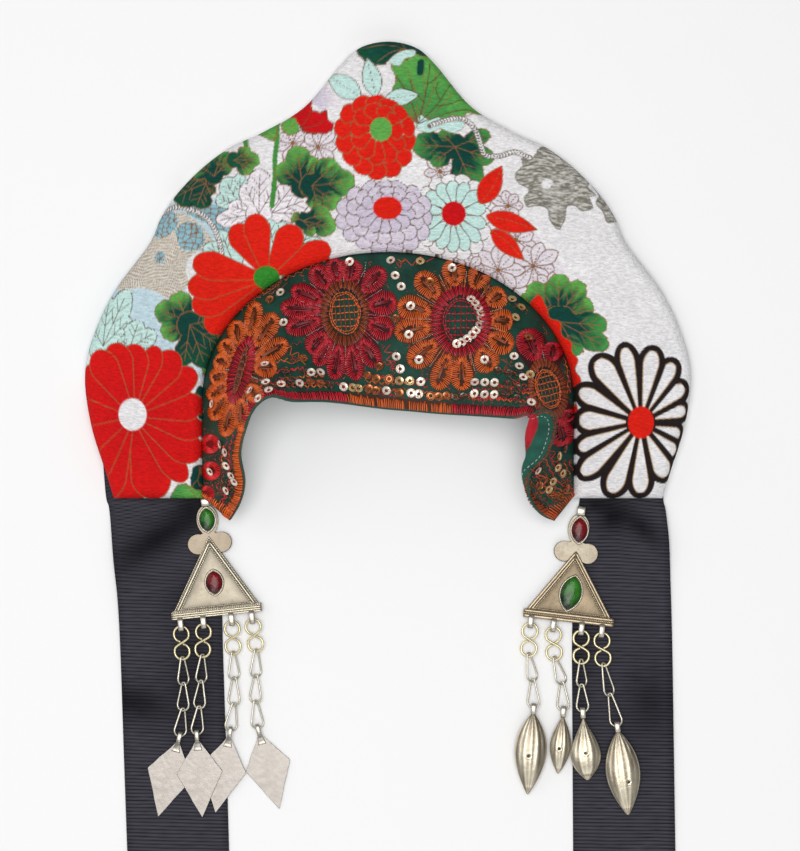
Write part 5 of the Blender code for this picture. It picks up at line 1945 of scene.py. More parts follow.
# Ovals of the plate's upper end: half width, half height, x, y
HEAD = (5.3, 7.5, 0.0, 7.6)
LOBES = ((5.0, 5.0, -5.9, -4.0), (5.0, 5.0, 5.9, -4.0))
NECK = (6.4, 3.4, 0.0, -1.8)
RAIL_LENGTH = 44.4
RAIL_WIDTH = 4.2
RAIL_HEIGHT = 2.25
RAIL_OVERLAP = 0.6
STRAP_WIDTH = 2.6
STRAP_WALL = 0.7
STRAP_LENGTH = 7.0
STRAP_HEIGHT = 4.4
STRAP_OVERLAP = 1.2
STRAP_POINTS = 44
STRAP_SQUARENESS = 0.7
STRAP_OFFSETS = (-18.1, -6.9, 6.9, 16.9)
STRAP_PLAY = 0.9
HANGER_WIDTH = 4.0
HANGER_LENGTH = 5.0
BEZEL_WALL = 0.7
BEZEL_HEIGHT = 1.4
BEZEL_LEAN = 0.3
STONE_CLEARANCE = 0.2
STONE_HEIGHT = 2.2
STONE_STEPS = 22
GAP = 0.3
S_WIRE = 1.2
S_LENGTH = 16.2
S_EYE_RADIUS = 3.8
S_POINTS = 10
S_CURL = (-82.0, 225.0)
S_ROLL = -14.0
LINK_WIRE = 1.0
LINK_HALF_WIDTH = 3.0
LINK_TOP_RADIUS = 0.95
LINK_ROLLS = (34.0, -20.0, 21.0)
BAIL_WIDTH = 2.0
BAIL_LENGTH = 5.9
BAIL_HEIGHT = 4.2
DIAMOND_LENGTH = 37.5
DIAMOND_HALF_WIDTH = 11.2
DIAMOND_SHOULDER = 15.5
DIAMOND_THICKNESS = 0.9
DIAMOND_OVERLAP = 1.4
# The rings of a diamond that are its bevelled rim, brightened as a painted highlight, and the rows and
# columns of a leaf
DIAMOND_HIGHLIGHT_RINGS = slice(2, 5)
LEAF_FULLNESS = 0.9
LEAF_RIM = 0.93
FINE_LEAF = (76, 88)
# stones: centre over the tip, half width, half height, turn, kind
# strands: raise, heading of the S link, of the links and of the drop, rest height, link length, slack
# leaves: half width, length, half thickness, where widest, and the hole's place down and across
PENDANTS = {
    "left": {
        "tip": (-87.7, -41.9),
        "turn": 5.9,
        "height": 36.0,
        "head_lift": 0.0,
        "stones": {
            "top": (0.0, 7.6, 3.9, 5.9, 0.0, "green"),
            "main": (0.3, -23.3, 4.2, 6.0, 0.0, "red"),
        },
        "strands": (
            (0.0, 3.0, (2.5, -1.0, -7.0), -15.1, 1.3, 13.9, 0.0),
            (0.0, -2.0, (-3.0, -4.0, -5.0), 3.6, 2.5, 13.9, 0.0),
            (0.0, 3.0, (2.0, 0.0, -8.0), -10.4, 1.3, 13.9, 0.0),
            (0.0, 8.0, (-1.0, -1.0, 5.0), 14.7, 0.3, 13.9, 0.0),
        ),
        "leaves": (None, None, None, None),
    },
    "right": {
        "tip": (92.1, -49.2),
        "turn": -6.7,
        "height": 31.8,
        "head_lift": 2.8,
        "stones": {
            "top": (0.4, 9.9, 4.0, 6.4, 3.0, "red"),
            "main": (-0.2, -21.2, 5.2, 8.7, -8.0, "green"),
        },
        "strands": (
            (0.6, -4.0, (9.0, 2.0), -4.0, 0.3, 14.2, 0.4),
            (0.0, 2.0, (17.0, 3.0), -5.0, 0.3, 14.2, 0.5),
            (0.0, 0.0, (1.0, 2.0), 4.0, 1.3, 13.5, 0.8),
            (0.0, 3.0, (12.0, 13.0), 7.0, 1.3, 16.4, 0.1),
        ),
        "leaves": (
            (7.9, 40.5, 3.5, 0.46, 0.52, -0.1),
            (5.1, 29.0, 2.8, 0.52, 0.56, -0.1),
            (7.4, 31.5, 3.2, 0.6, 0.56, 0.0),
            (8.5, 42.0, 3.5, 0.47, 0.6, 0.25),
        ),
    },
}
# Wires along each side of a triangle: distance from its edge, radius, kind, height over the base plate
FRAME_WIRES = {
    "left": ((0.5, 0.48, "rope", 0.62), (1.7, 0.62, "wire", 0.56), (2.85, 0.46, "rope", 0.5)),
    "right": ((0.75, 0.75, "wire", 0.45), (2.0, 0.55, "wire", 0.4), (2.95, 0.42, "rope", 0.45)),
}
BASE_WIRES = {
    "left": ((0.4, 0.42, "rope", 0.55), (1.2, 0.36, "rope", 0.5)),
    "right": ((0.4, 0.42, "wire", 0.5), (1.2, 0.38, "rope", 0.5)),
}
# Wires along the rail: distance from its middle, radius, kind, height of their centre over the plate's back
RAIL_WIRES = {
    "left": (
        (1.45, 0.42, "rope", 2.5),
        (0.45, 0.5, "wire", 2.42),
        (-0.6, 0.5, "wire", 2.38),
        (-1.6, 0.5, "wire", 2.3),
    ),
    "right": ((1.3, 0.75, "wire", 2.1), (0.25, 0.42, "rope", 2.5), (-1.1, 0.95, "wire", 2.0)),
}
# Ropes: a turn's length and the radius that it is for, steps in a turn, and how narrow the waist is
ROPE_PITCH = 2.0
ROPE_RADIUS = 0.45
ROPE_STEPS = 7
ROPE_WAIST = 0.52
ROPE_SIDES = 10
WIRE_SIDES = 14

# Silver and stone colours
SILVER = (136, 131, 126)
PLATE_PATINA = {"left": 0.55, "right": 1.0}
PLATE_TINTS = {"left": (136, 129, 115), "right": (121, 108, 87)}
# The heads' tints; the left one darker than its plate, partly as painted shade
HEAD_TINTS = {"left": (120, 110, 96), "right": (134, 126, 112)}
WIRE_TINTS = {"left": (196, 188, 169), "right": (176, 161, 136)}
STRAP_SILVER = (190, 184, 173)
LINK_SILVER = (208, 202, 186)
LEAF_SILVER = (200, 192, 172)
BEZEL_SILVER = (216, 208, 192)
BRASS_TINT = (222, 210, 170)
# The dark of tarnish, used also for painted shade in the ropes' grooves and on the leaves
PATINA_AND_SHADE_DARK = (96, 82, 66)
STONE_HIGHLIGHT = (160, 150, 156)
# The dark and the light colour of each kind of glass, the ends of its painted light
STONE_COLOURS = {
    "green": ((3, 24, 18), (50, 128, 24)),
    "red": ((44, 3, 15), (130, 7, 14)),
}


class Shape:
    """Grids of points in millimetres, gathered into one mesh."""

    def __init__(self):
        self.points = []
        self.faces = []
        self.colours = []
        self.count = 0

    def add(self, grid, colour, matrix=None, loop=False):
        """Adds rows of points that are rings each, and with loop also a ring of rows."""
        grid = np.asarray(grid, float)
        rows, columns = grid.shape[:2]
        if matrix is not None:
            grid = moved(grid, matrix)
        faces = grid_faces(rows + loop, columns, ring=True)
        if loop:
            faces = faces % (rows * columns)
        else:
            ends = (end_faces(columns, 0, True), end_faces(columns, (rows - 1) * columns, False))
            faces = np.vstack([faces, *ends])
        self.points.append(grid.reshape(-1, 3))
        self.faces.append(faces + self.count)
        self.colours.append(np.broadcast_to(colour, (rows, columns, 3)).reshape(-1, 3))
        self.count += rows * columns

    def build(self, name, material):
        points, faces, colours = (np.vstack(part) for part in (self.points, self.faces, self.colours))
        return make_mesh(name, points, faces, material, colours)


def moved(points, matrix):
    matrix = np.array(matrix)
    return points @ matrix[:3, :3].T + matrix[:3, 3]


def turn_about(degrees, axis):
    return Matrix.Rotation(math.radians(degrees), 4, axis)


def at_height(points, height=0.0):
    """Plan points as points at this height."""
    return np.column_stack([points, np.full(len(points), height)])



def circle(count, half_width=1.0, half_height=None):
    """Points of an oval, counted from its right end, anticlockwise."""
    turns = np.linspace(0, 2 * math.pi, count, endpoint=False)
    return np.column_stack([half_width * np.cos(turns), (half_height or half_width) * np.sin(turns)])


def squared(value, power):
    return np.sign(value) * np.abs(value) ** power


# The sizes of the rings that shut the end of a wire
CAP_SHARES = (0.02, 0.9)
def sweep(path, section, closed=False):
    """Rings of a section carried along a path, shut at its ends. A section's points are across and up."""
    path = np.asarray(path, float)
    if closed:
        tangents = unit(np.roll(path, -1, axis=0) - np.roll(path, 1, axis=0))
    else:
        tangents = unit(np.gradient(path, axis=0))
    across = unit(np.cross(tangents, (0.0, 0.0, 1.0)))
    over = np.cross(across, tangents)
    section = np.broadcast_to(section, (len(path), *np.shape(section)[-2:]))
    rings = path[:, None] + across[:, None] * section[..., :1] + over[:, None] * section[..., 1:]
    if closed:
        return rings
    start = [shrunk(rings[:1], share) for share in CAP_SHARES]
    end = [shrunk(rings[-1:], share) for share in reversed(CAP_SHARES)]
    return np.concatenate([*start, rings, *end])


def shrunk(ring, share):
    """A ring of points drawn in to this share of its size."""
    middle = ring.mean(axis=1, keepdims=True)
    return middle + (ring - middle) * share


def slab(outline, low, high, bevel, steps=6):
    """A flat plate with bevelled edges over an outline that can be seen whole from its middle."""
    outline = np.asarray(outline, float)
    middle = outline.mean(axis=0)
    out = outline - middle
    inner = 1 - bevel / np.linalg.norm(out, axis=1)[:, None]
    rings = [(0.01, low), (inner, low), (1.0, low + bevel), (1.0, high - bevel), (inner, high)]
    rings += [(inner * share, high) for share in (0.985, *np.linspace(0.92, 0.01, steps))]
    return np.array([at_height(middle + out * share, level) for share, level in rings])


def along_edges(corners, pitch, rounding=0.0):
    """Points around a polygon with this distance between them, its corners cut by the rounding."""
    points = []
    count = len(corners)
    for index, corner in enumerate(corners):
        corner = np.array(corner, float)
        following = np.array(corners[(index + 1) % count], float)
        length = np.linalg.norm(following - corner)
        share = rounding / length
        steps = max(int(length / pitch), 2)
        points.extend(corner + (following - corner) * np.linspace(share, 1 - share, steps)[:, None])
    return np.array(points)


def rope_section(path, radius):
    """The section of two twisted strands at each point of a path, and how far out of the grooves it is."""
    twist = 2 * math.pi * lengths_along(path) / ROPE_PITCH / (radius / ROPE_RADIUS)
    turns = np.linspace(0, 2 * math.pi, ROPE_SIDES, endpoint=False)
    reach = np.maximum(np.abs(np.cos(turns[None, :] - twist[:, None])), ROPE_WAIST)
    section = radius * reach[..., None] * np.stack([np.cos(turns), np.sin(turns)], axis=-1)
    return section, np.clip((reach - ROPE_WAIST) / (1 - ROPE_WAIST), 0, 1)[..., None]


def add_wire(shape, start, end, radius, kind, colour):
    """A straight wire or rope between two points."""
    start, end = np.array(start, float), np.array(end, float)
    length = np.linalg.norm(end - start)
    if kind == "wire":
        path = start + (end - start) * np.linspace(0, 1, max(int(length / 1.2), 3))[:, None]
        wobble = 1 + 0.05 * noise(path[:, 0] * 0.8 + 7, path[:, 1] * 0.8, 51)
        shape.add(sweep(path, circle(WIRE_SIDES, radius)[None] * wobble[:, None, None]), rgb(colour))
        return
    steps = ROPE_STEPS
    count = int(length / ROPE_PITCH / (radius / ROPE_RADIUS) * steps) + 2
    path = start + (end - start) * np.linspace(0, 1, count)[:, None]
    section, out = rope_section(path, radius)
    # Painted shade in the rope's grooves, over tarnish there, and a painted highlight on its strands, half
    # as bright again
    shades = rgb(PATINA_AND_SHADE_DARK) * (1 - out) + rgb(colour) * 1.5 * out
    shades = np.concatenate([shades[:1], shades[:1], shades, shades[-1:], shades[-1:]])
    shape.add(sweep(path, section), shades)


def add_crossbar(shape, half, y, level, radius, kind, colour):
    """A wire or rope that runs straight across a plate."""
    add_wire(shape, (-half, y, level), (half, y, level), radius, kind, colour)


def rounded_strip(width, wall):
    """The section of a bent strip of metal with rounded edges."""
    points = circle(12)
    return np.column_stack([squared(points[:, 0], 0.35) * width / 2, squared(points[:, 1], 0.6) * wall / 2])


def strap_ring(width, length, height):
    """A strap bent into an oval ring about the X axis, with its centre at the origin."""
    turns = np.linspace(0, 2 * math.pi, STRAP_POINTS, endpoint=False)
    y = squared(np.cos(turns), STRAP_SQUARENESS) * (length - STRAP_WALL) / 2
    z = squared(np.sin(turns), STRAP_SQUARENESS) * (height - STRAP_WALL) / 2
    path = np.column_stack([np.zeros(len(turns)), y, z])
    section = rounded_strip(width, STRAP_WALL)
    sideways = np.array([1.0, 0.0, 0.0])
    out = np.cross(sideways, unit(np.roll(path, -1, axis=0) - np.roll(path, 1, axis=0)))
    return path[:, None] + sideways * section[None, :, :1] + out[:, None] * section[None, :, 1:]


def add_strap(shape, size, centre, strength, seed):
    """A strap's ring of this width, length and height around a centre."""
    ring = strap_ring(*size)
    shape.add(ring, patina(ring, STRAP_SILVER, strength, seed), Matrix.Translation(centre), loop=True)


def triangle(height, inset):
    """The triangle's corners, with its sides moved in by this much."""
    side_slope = math.atan2(height, TRIANGLE_HALF_BASE)
    top = -inset / math.cos(side_slope)
    bottom = -height + inset * FRAME_BASE_SHARE
    half = (top - bottom) / math.tan(side_slope)
    return [(0.0, top), (-half, bottom), (half, bottom)]


def pendant_matrix(place):
    return Matrix.Translation((*place["tip"], PLATE_BASE_Z)) @ turn_about(place["turn"], "Z")


def rail_centre_y(place):
    return -place["height"] - RAIL_WIDTH / 2 + RAIL_OVERLAP


def strap_centre_y(place, raised):
    return rail_centre_y(place) - RAIL_WIDTH / 2 - STRAP_LENGTH / 2 + STRAP_OVERLAP + raised


def marquise(half_width, half_height):
    """A pointed oval of two arcs that meet at its upper and lower tips."""
    radius = (half_width**2 + half_height**2) / (2 * half_width)
    opening = math.asin(half_height / radius)
    turns = -opening + 2 * opening * np.arange(STONE_STEPS) / STONE_STEPS
    right = np.column_stack([radius * np.cos(turns) - radius + half_width, radius * np.sin(turns)])
    return np.vstack([right, -right])


def head_outline():
    """The outline around the head's oval, the neck and both lobes together, seen from the neck's middle."""
    turns = np.linspace(0, 2 * math.pi, 220, endpoint=False)
    rays = np.column_stack([np.cos(turns), np.sin(turns)])
    reach = np.zeros(len(turns))
    for half_width, half_height, x, y in (HEAD, NECK, *LOBES):
        radii = np.array([half_width, half_height])
        centre = (np.array([x, y]) - NECK[2:]) / radii
        rays_in = rays / radii
        a, b = (rays_in**2).sum(axis=1), rays_in @ centre
        inside = b**2 - a * (centre @ centre - 1)
        reach = np.maximum(reach, np.where(inside > 0, (b + np.sqrt(np.clip(inside, 0, None))) / a, 0.0))
    return rays * reach[:, None] + NECK[2:]


def patina(grid, colour, strength, seed):
    """A colour that darkens in soft blotches over a grid of points."""
    x, y = grid[..., 0], grid[..., 1]
    blotch = 0.5 + 0.5 * noise(x / 5.0 + 40, y / 5.0 + 40, seed)
    blotch = blotch * (0.6 + 0.4 * noise(x / 1.6 + 80, y / 1.6 + 80, seed + 1))
    speckle = 0.25 * np.clip(noise(x / 0.7 + 60, y / 0.7 + 60, seed + 2), 0, 1)
    return mixed((colour, PATINA_AND_SHADE_DARK), np.clip((blotch + speckle) * strength, 0, 1))


def add_sheets(shape, side, place):
    """A plate's triangle, darker along its frame with tarnish and painted shade, and its head and lobes."""
    height = place["height"]
    strength = PLATE_PATINA[side]
    outline = along_edges(triangle(height, 0.0), pitch=1.0, rounding=0.4)
    base = slab(outline, 0.0, SHEET_THICKNESS, bevel=0.25, steps=24)
    framed = np.array(triangle(height, FRAME_WIDTH))
    depth = -ring_distance(base[..., :2].reshape(-1, 2), framed).reshape(base.shape[:2])
    # Tarnish and painted shade: darkest under the frame, fading inward from its inner edge
    tarnish_and_shade = 0.55 * np.exp(-np.clip(depth, 0, None) / 1.6)[..., None]
    shape.add(base, patina(base, PLATE_TINTS[side], strength, seed=61) * (1 - tarnish_and_shade))
    outline = head_outline() + (0.0, place["head_lift"])
    head = slab(outline, 0.0, HEAD_THICKNESS, bevel=0.25, steps=24)
    shape.add(head, patina(head, HEAD_TINTS[side], strength * 0.8, seed=63))


def add_frame(shape, side, height):
    """The wires along a triangle's sides, down to its base, and along its base."""
    foot = -height + FRAME_FOOT
    tint = WIRE_TINTS[side]
    for inset, radius, kind, lift in FRAME_WIRES[side]:
        (_, top), *corners = triangle(height, inset)
        level = SHEET_THICKNESS + lift
        for x, y in corners:
            end = (x * (top - foot) / (top - y), foot, level)
            add_wire(shape, (0.0, top, level), end, radius, kind, tint)
    for inset, radius, kind, lift in BASE_WIRES[side]:
        half = TRIANGLE_HALF_BASE - inset * 1.4
        add_crossbar(shape, half, -height + inset, SHEET_THICKNESS + lift, radius, kind, tint)


def add_rail(shape, side, middle):
    """The rail under a plate's triangle, with the wires along it."""
    half = RAIL_LENGTH / 2
    edge = RAIL_WIDTH / 2
    corners = [(-half, -edge), (half, -edge), (half, edge), (-half, edge)]
    outline = along_edges(corners, pitch=0.8, rounding=0.3) + (0.0, middle)
    rail = slab(outline, 0.0, RAIL_HEIGHT, bevel=0.35, steps=8)
    shape.add(rail, patina(rail, PLATE_TINTS[side], PLATE_PATINA[side], seed=67))
    for offset, radius, kind, level in RAIL_WIRES[side]:
        add_crossbar(shape, half, middle + offset, level, radius, kind, WIRE_TINTS[side])


def add_bezel(shape, x, y, half_width, half_height, turn):
    """The wall around a stone, leaning in over it."""
    wall = BEZEL_WALL / 2
    path = marquise(half_width + wall, half_height + wall * 1.5)
    path = at_height(path, SHEET_THICKNESS + BEZEL_HEIGHT / 2)
    section = circle(10, wall, BEZEL_HEIGHT / 2)
    section[:, 0] -= BEZEL_LEAN * np.clip(section[:, 1], 0, None)
    matrix = Matrix.Translation((x, y, 0.0)) @ turn_about(turn, "Z")
    shape.add(sweep(path, section, closed=True), rgb(BEZEL_SILVER), matrix, loop=True)


def make_plate(side, place, material):
    """A soldered plate: sheet triangle with its wires, head, lobes, rail, straps, hanger and bezels."""
    shape = Shape()
    add_sheets(shape, side, place)
    add_frame(shape, side, place["height"])
    add_rail(shape, side, rail_centre_y(place))
    middle = STRAP_HEIGHT / 2
    size = (STRAP_WIDTH, STRAP_LENGTH, STRAP_HEIGHT)
    for x, strand in zip(STRAP_OFFSETS, place["strands"]):
        add_strap(shape, size, (x, strap_centre_y(place, strand[0]), middle), strength=0.2, seed=69)
    size = (HANGER_WIDTH, HANGER_LENGTH, STRAP_HEIGHT)
    top = HEAD[3] + HEAD[1] + place["head_lift"] + HANGER_LENGTH / 2 - STRAP_OVERLAP
    add_strap(shape, size, (0.0, top, middle), strength=0.2, seed=71)
    for *stone, _ in place["stones"].values():
        add_bezel(shape, *stone)
    made = shape.build(f"silver_plate_{side}", material)
    made.matrix_world = in_metres(pendant_matrix(place))
    return made


def in_metres(matrix):
    """A place in millimetres as one in metres."""
    matrix = matrix.copy()
    matrix.translation *= MM
    return matrix


def stone_colours(grid, half_width, half_height, kind):
    """A stone's colours in painted light: lighter toward its top and right and darker at its rim, with a
    soft painted highlight low down.
    """
    along = grid[..., 1] / half_height
    across = grid[..., 0] / half_width
    painted_light = 0.55 + 0.5 * along + 0.25 * across + 0.35 * noise(along * 4 + 9, across * 3 + 9, 73)
    painted_light = np.clip(painted_light, 0, 1) * np.clip(1.25 - across**2 - along**2, 0.15, 1)
    soft_highlight = 0.42 * np.exp(-((across + 0.15) ** 2 + (along + 0.5) ** 2) / 0.09)
    soft_highlight = soft_highlight * (0.6 + 0.6 * noise(along * 7 + 5, across * 7 + 5, 75))
    inner = mixed(STONE_COLOURS[kind], painted_light)
    return inner + (rgb(STONE_HIGHLIGHT) - inner) * np.clip(soft_highlight, 0, 1)[..., None]


def make_stone(name, place, stone, materials):
    """A pointed oval cabochon."""
    x, y, half_width, half_height, turn, kind = stone
    half_width -= STONE_CLEARANCE
    half_height -= 1.5 * STONE_CLEARANCE
    levels = [(0.02, 0.0), (1.0, 0.0)]
    for angle in np.linspace(0, 0.49 * math.pi, 12):
        levels.append((math.cos(angle), STONE_HEIGHT * (0.3 + 0.7 * math.sin(angle))))
    ring = marquise(half_width, half_height)
    grid = np.array([at_height(ring * share, level) for share, level in levels])
    shape = Shape()
    shape.add(grid, stone_colours(grid, half_width, half_height, kind))
    made = shape.build(name, materials[kind])
    local = Matrix.Translation((x, y, SHEET_THICKNESS + GAP)) @ turn_about(turn, "Z")
    made.matrix_world = in_metres(pendant_matrix(place) @ local)
    return made


def s_link_path(side):
    """An S of wire that hangs from the origin, its ends curled back to its middle, mirrored on the left."""
    half = S_LENGTH / 2
    centre = half - S_EYE_RADIUS
    turns = np.radians(np.linspace(*S_CURL, S_POINTS))
    upper = np.column_stack([S_EYE_RADIUS * np.cos(turns), centre + S_EYE_RADIUS * np.sin(turns)])
    points = np.vstack([upper, -upper[::-1]]) - (0.0, half)
    if side == "left":
        points[:, 0] *= -1
    return smooth(at_height(points), 5)


def link_path(length):
    """A teardrop ring of wire: a small bend over its top, straight sides and a round foot."""
    lean = math.asin((LINK_HALF_WIDTH - LINK_TOP_RADIUS) / (length - LINK_HALF_WIDTH - LINK_TOP_RADIUS))
    top = np.linspace(math.pi - lean, lean, 7)
    foot = np.linspace(lean, -math.pi - lean, 21)
    upper = LINK_TOP_RADIUS * np.column_stack([np.cos(top), np.sin(top) - 1])
    lower = LINK_HALF_WIDTH * np.column_stack([np.cos(foot), np.sin(foot) + 1]) - (0.0, length)
    right = np.linspace(upper[-1], lower[0], 8)[1:-1]
    left = np.linspace(lower[-1], upper[0], 8)[1:-1]
    return at_height(np.vstack([upper, right, lower, left]))


def wire_shape(path, diameter, closed, colour, seed):
    """Hand-bent wire along a path, with small swellings from the hammer and the solder."""
    uneven = 1 + 0.05 * noise(lengths_along(path) / 2.2, np.full(len(path), 3.5), seed)
    section = circle(WIRE_SIDES, diameter / 2)[None] * uneven[:, None, None]
    shape = Shape()
    shape.add(sweep(path, section, closed=closed), rgb(colour), loop=closed)
    return shape


def add_tongue(shape, splay):
    """The splayed end of a bail, soldered on its drop."""
    start = -BAIL_LENGTH / 2 + 0.6
    low = -BAIL_HEIGHT / 2 + DIAMOND_THICKNESS - 0.1
    lengths = np.linspace(0, 1, 9)
    heights = low + 0.25 + 2.2 * (1 - lengths) ** 3
    path = np.column_stack([np.zeros(len(lengths)), start - 5.2 * lengths, heights])
    section = np.stack([rounded_strip(BAIL_WIDTH + 2 * splay * length, 0.5) for length in lengths])
    tongue = sweep(path, section)
    shape.add(tongue, patina(tongue, STRAP_SILVER, 0.1, seed=79))


def diamond_shape():
    """A flat diamond drop with a bevelled rim, its bail and the bail's tongue."""
    start = BAIL_LENGTH / 2
    shoulder = -start - DIAMOND_SHOULDER
    kite = [(0.0, DIAMOND_OVERLAP - start), (-DIAMOND_HALF_WIDTH, shoulder), (0.0, -start - DIAMOND_LENGTH),
            (DIAMOND_HALF_WIDTH, shoulder)]
    outline = along_edges(kite, pitch=0.9, rounding=0.35)
    x, y = outline[:, 0] / 3, outline[:, 1] / 3
    outline += 0.12 * np.column_stack([noise(y, x, 81), noise(x, y, 82)])
    low = -BAIL_HEIGHT / 2
    plate = slab(outline, low, low + DIAMOND_THICKNESS, bevel=0.12, steps=14)
    colours = patina(plate, SILVER, 0.16, seed=83)
    # Painted highlight on the bevelled rim
    colours[DIAMOND_HIGHLIGHT_RINGS] *= 2.4
    shape = Shape()
    shape.add(plate, colours)
    add_strap(shape, (BAIL_WIDTH, BAIL_LENGTH, BAIL_HEIGHT), ORIGIN, strength=0.15, seed=77)
    add_tongue(shape, 1.1)
    return shape


def leaf_shape(leaf):
    """A pressed leaf with ribs along it, a rim, a flat tip and a small hole, and its bail."""
    half_width, length, half_thickness, widest, hole_down, hole_across = leaf
    rows, columns = FINE_LEAF
    share = np.linspace(0.012, 0.988, rows)[:, None]
    width = np.sin(math.pi * share ** (math.log(0.5) / math.log(widest))) ** LEAF_FULLNESS
    turns = np.linspace(0, 2 * math.pi, columns, endpoint=False)[None, :]
    across = squared(np.cos(turns), 0.9)
    dome = squared(np.sin(turns), 0.8)
    groove = (1 - np.cos(across * 5 * math.pi)) / 2
    rib = 1 - 0.1 * groove * np.clip(1.1 - share, 0, 1)
    flat = np.clip((1 - share) / 0.12, 0.35, 1)
    rim = np.where(np.abs(across) > LEAF_RIM, 1.0, 0.94)
    x = half_width * width * across
    y = np.broadcast_to(-length * share, x.shape)
    away = np.hypot(x - hole_across * half_width, y + length * hole_down)
    above = np.broadcast_to(dome > 0, x.shape)
    pit = np.where(above, np.exp(-((away / 0.62) ** 4)), 0.0)
    lip = np.where(above, np.exp(-(((away - 1.0) / 0.35) ** 2)), 0.0)
    z = half_thickness * width * dome * rib * flat * rim - 1.5 * pit + 0.18 * lip
    grid = np.stack([x, y, z], axis=-1)
    grid = np.concatenate([shrunk(grid[:1], 0.0), grid, shrunk(grid[-1:], 0.0)])
    streak = 0.5 + 0.5 * noise(x / 1.3 + hole_down * 40, y / 12, 85)
    colours = leaf_colours(share, across, groove, streak)
    # Painted highlight on the raised lip round the hole, and painted shade, nearly black, in the hole
    colours = np.clip(colours * (1 + 0.6 * lip)[..., None], 0, 0.95)
    colours = colours * (1 - 0.97 * np.clip(pit * 1.4, 0, 1)[..., None])
    shape = Shape()
    colours = np.concatenate([colours[:1], colours, colours[-1:]])
    shape.add(grid, colours, Matrix.Translation((0.0, -BAIL_LENGTH / 2 + STRAP_OVERLAP, 0.0)))
    add_strap(shape, (BAIL_WIDTH * 1.25, BAIL_LENGTH, BAIL_HEIGHT), ORIGIN, strength=0.15, seed=77)
    return shape


def leaf_colours(share, across, groove, streak):
    """A leaf's colours without its hole, in painted light: a painted highlight on its rim, its lower part
    lighter, painted shade on its sides and its flat tip, and tarnish and painted shade in its grooves and
    in streaks that fade toward its tip.
    """
    off = np.abs(across)
    shade = 0.04 + groove * (0.14 + 0.5 * streak) + 0.6 * np.clip(1.0 - 1.5 * share, 0, 1) * streak
    shade = shade + 0.35 * (share > 0.9) + 0.8 * np.clip(off - 0.4, 0, 1) * (0.4 + streak)
    shade = np.where(off > 0.9, 0.0, np.clip(shade, 0, 0.85))
    # Painted light: brightest on the rim, lighter toward the lower end
    bright = np.where(off > 0.9, 1.2, 0.95 + 0.35 * np.clip(share * 1.6 - 0.5, 0, 1))
    return mixed((LEAF_SILVER, PATINA_AND_SHADE_DARK), shade) * bright[..., None]


def lying(start, heading, end_z, length, roll=0.0):
    """The place of a link that slopes down from its top, its other end, and the way back up it."""
    pitch = math.asin((start.z - end_z) / length)
    place = Matrix.Translation(start) @ turn_about(heading, "Z") @ Matrix.Rotation(pitch, 4, "X")
    end = place @ Vector((0.0, -length, 0.0))
    return place @ turn_about(roll, "Y"), end, (start - end).normalized()


def slack(length, wire):
    """How far from the middle of a strap the wire in it hangs."""
    return length / 2 - STRAP_WALL - wire / 2 - GAP - STRAP_PLAY


def strand_parts(side, number, place):
    """An S link through its strap, teardrop links and a drop: each one's shape, place and node."""
    raised, s_heading, headings, drop_heading, rest, link_length, loose = place["strands"][number - 1]
    leaf = place["leaves"][number - 1]
    strap_y = strap_centre_y(place, raised) - slack(STRAP_LENGTH, S_WIRE)
    start = pendant_matrix(place) @ Vector((STRAP_OFFSETS[number - 1], strap_y, STRAP_HEIGHT / 2))
    half_height = max(leaf[2] if leaf else 0.0, BAIL_HEIGHT / 2)
    fall = (rest + half_height - start.z) / (len(headings) + 1)
    level = start.z + fall
    matrix, end, back = lying(start, s_heading, level, S_LENGTH, S_ROLL)
    link = wire_shape(s_link_path(side), S_WIRE, False, BRASS_TINT, 91 + number)
    yield link, matrix, f"s_link_{side}_{number}"
    hold = (S_WIRE + LINK_WIRE) / 2 + GAP + loose
    for index, heading in enumerate(headings):
        level += fall
        matrix, end, back = lying(end + back * hold, heading, level, link_length, LINK_ROLLS[index])
        link = wire_shape(link_path(link_length), LINK_WIRE, True, LINK_SILVER, 95 + index)
        yield link, matrix, f"link_{side}_{number}_{index + 1}"
        hold = LINK_WIRE + GAP
    hung = Matrix.Translation((0.0, -slack(BAIL_LENGTH, LINK_WIRE), 0.0))
    matrix = Matrix.Translation(end) @ turn_about(drop_heading, "Z") @ hung
    yield leaf_shape(leaf) if leaf else diamond_shape(), matrix, f"drop_{side}_{number}"


def make_strand(side, number, place, material):
    """A strand's pieces with their nodes."""
    pieces = []
    for shape, matrix, node in strand_parts(side, number, place):
        piece = shape.build(f"silver_{node}", material)
        piece.matrix_world = in_metres(matrix)
        pieces.append((piece, node))
    return pieces


def make_pendant(side, metal, glasses):
    """A pendant's pieces with the nodes that they stand for and their slots."""
    place = PENDANTS[side]
    pieces = [(make_plate(side, place, metal), f"pendant_plate_{side}", "old_silver")]
    for where, stone in place["stones"].items():
        piece = make_stone(f"glass_{side}_{where}", place, stone, glasses)
        pieces.append((piece, f"stone_{side}_{where}", f"{stone[-1]}_glass"))
    for number in range(1, len(place["strands"]) + 1):
        for piece, node in make_strand(side, number, place, metal):
            pieces.append((piece, node, "old_silver"))
    return pieces


def crease_height(side, x, y):
    """How far the ribbon's creases lift it."""
    height = np.zeros_like(x)
    for (start_x, start_y), (end_x, end_y), lift, width in CREASES[side]:
        along_x, along_y = end_x - start_x, end_y - start_y
        length = math.hypot(along_x, along_y)
        share = ((x - start_x) * along_x + (y - start_y) * along_y) / length**2
        off = ((x - start_x) * along_y - (y - start_y) * along_x) / length
        fade = np.clip(share * 4, 0, 1) * np.clip(1.6 - share, 0, 1)
        height += lift * np.exp(-((off / width) ** 2)) * fade
    return height


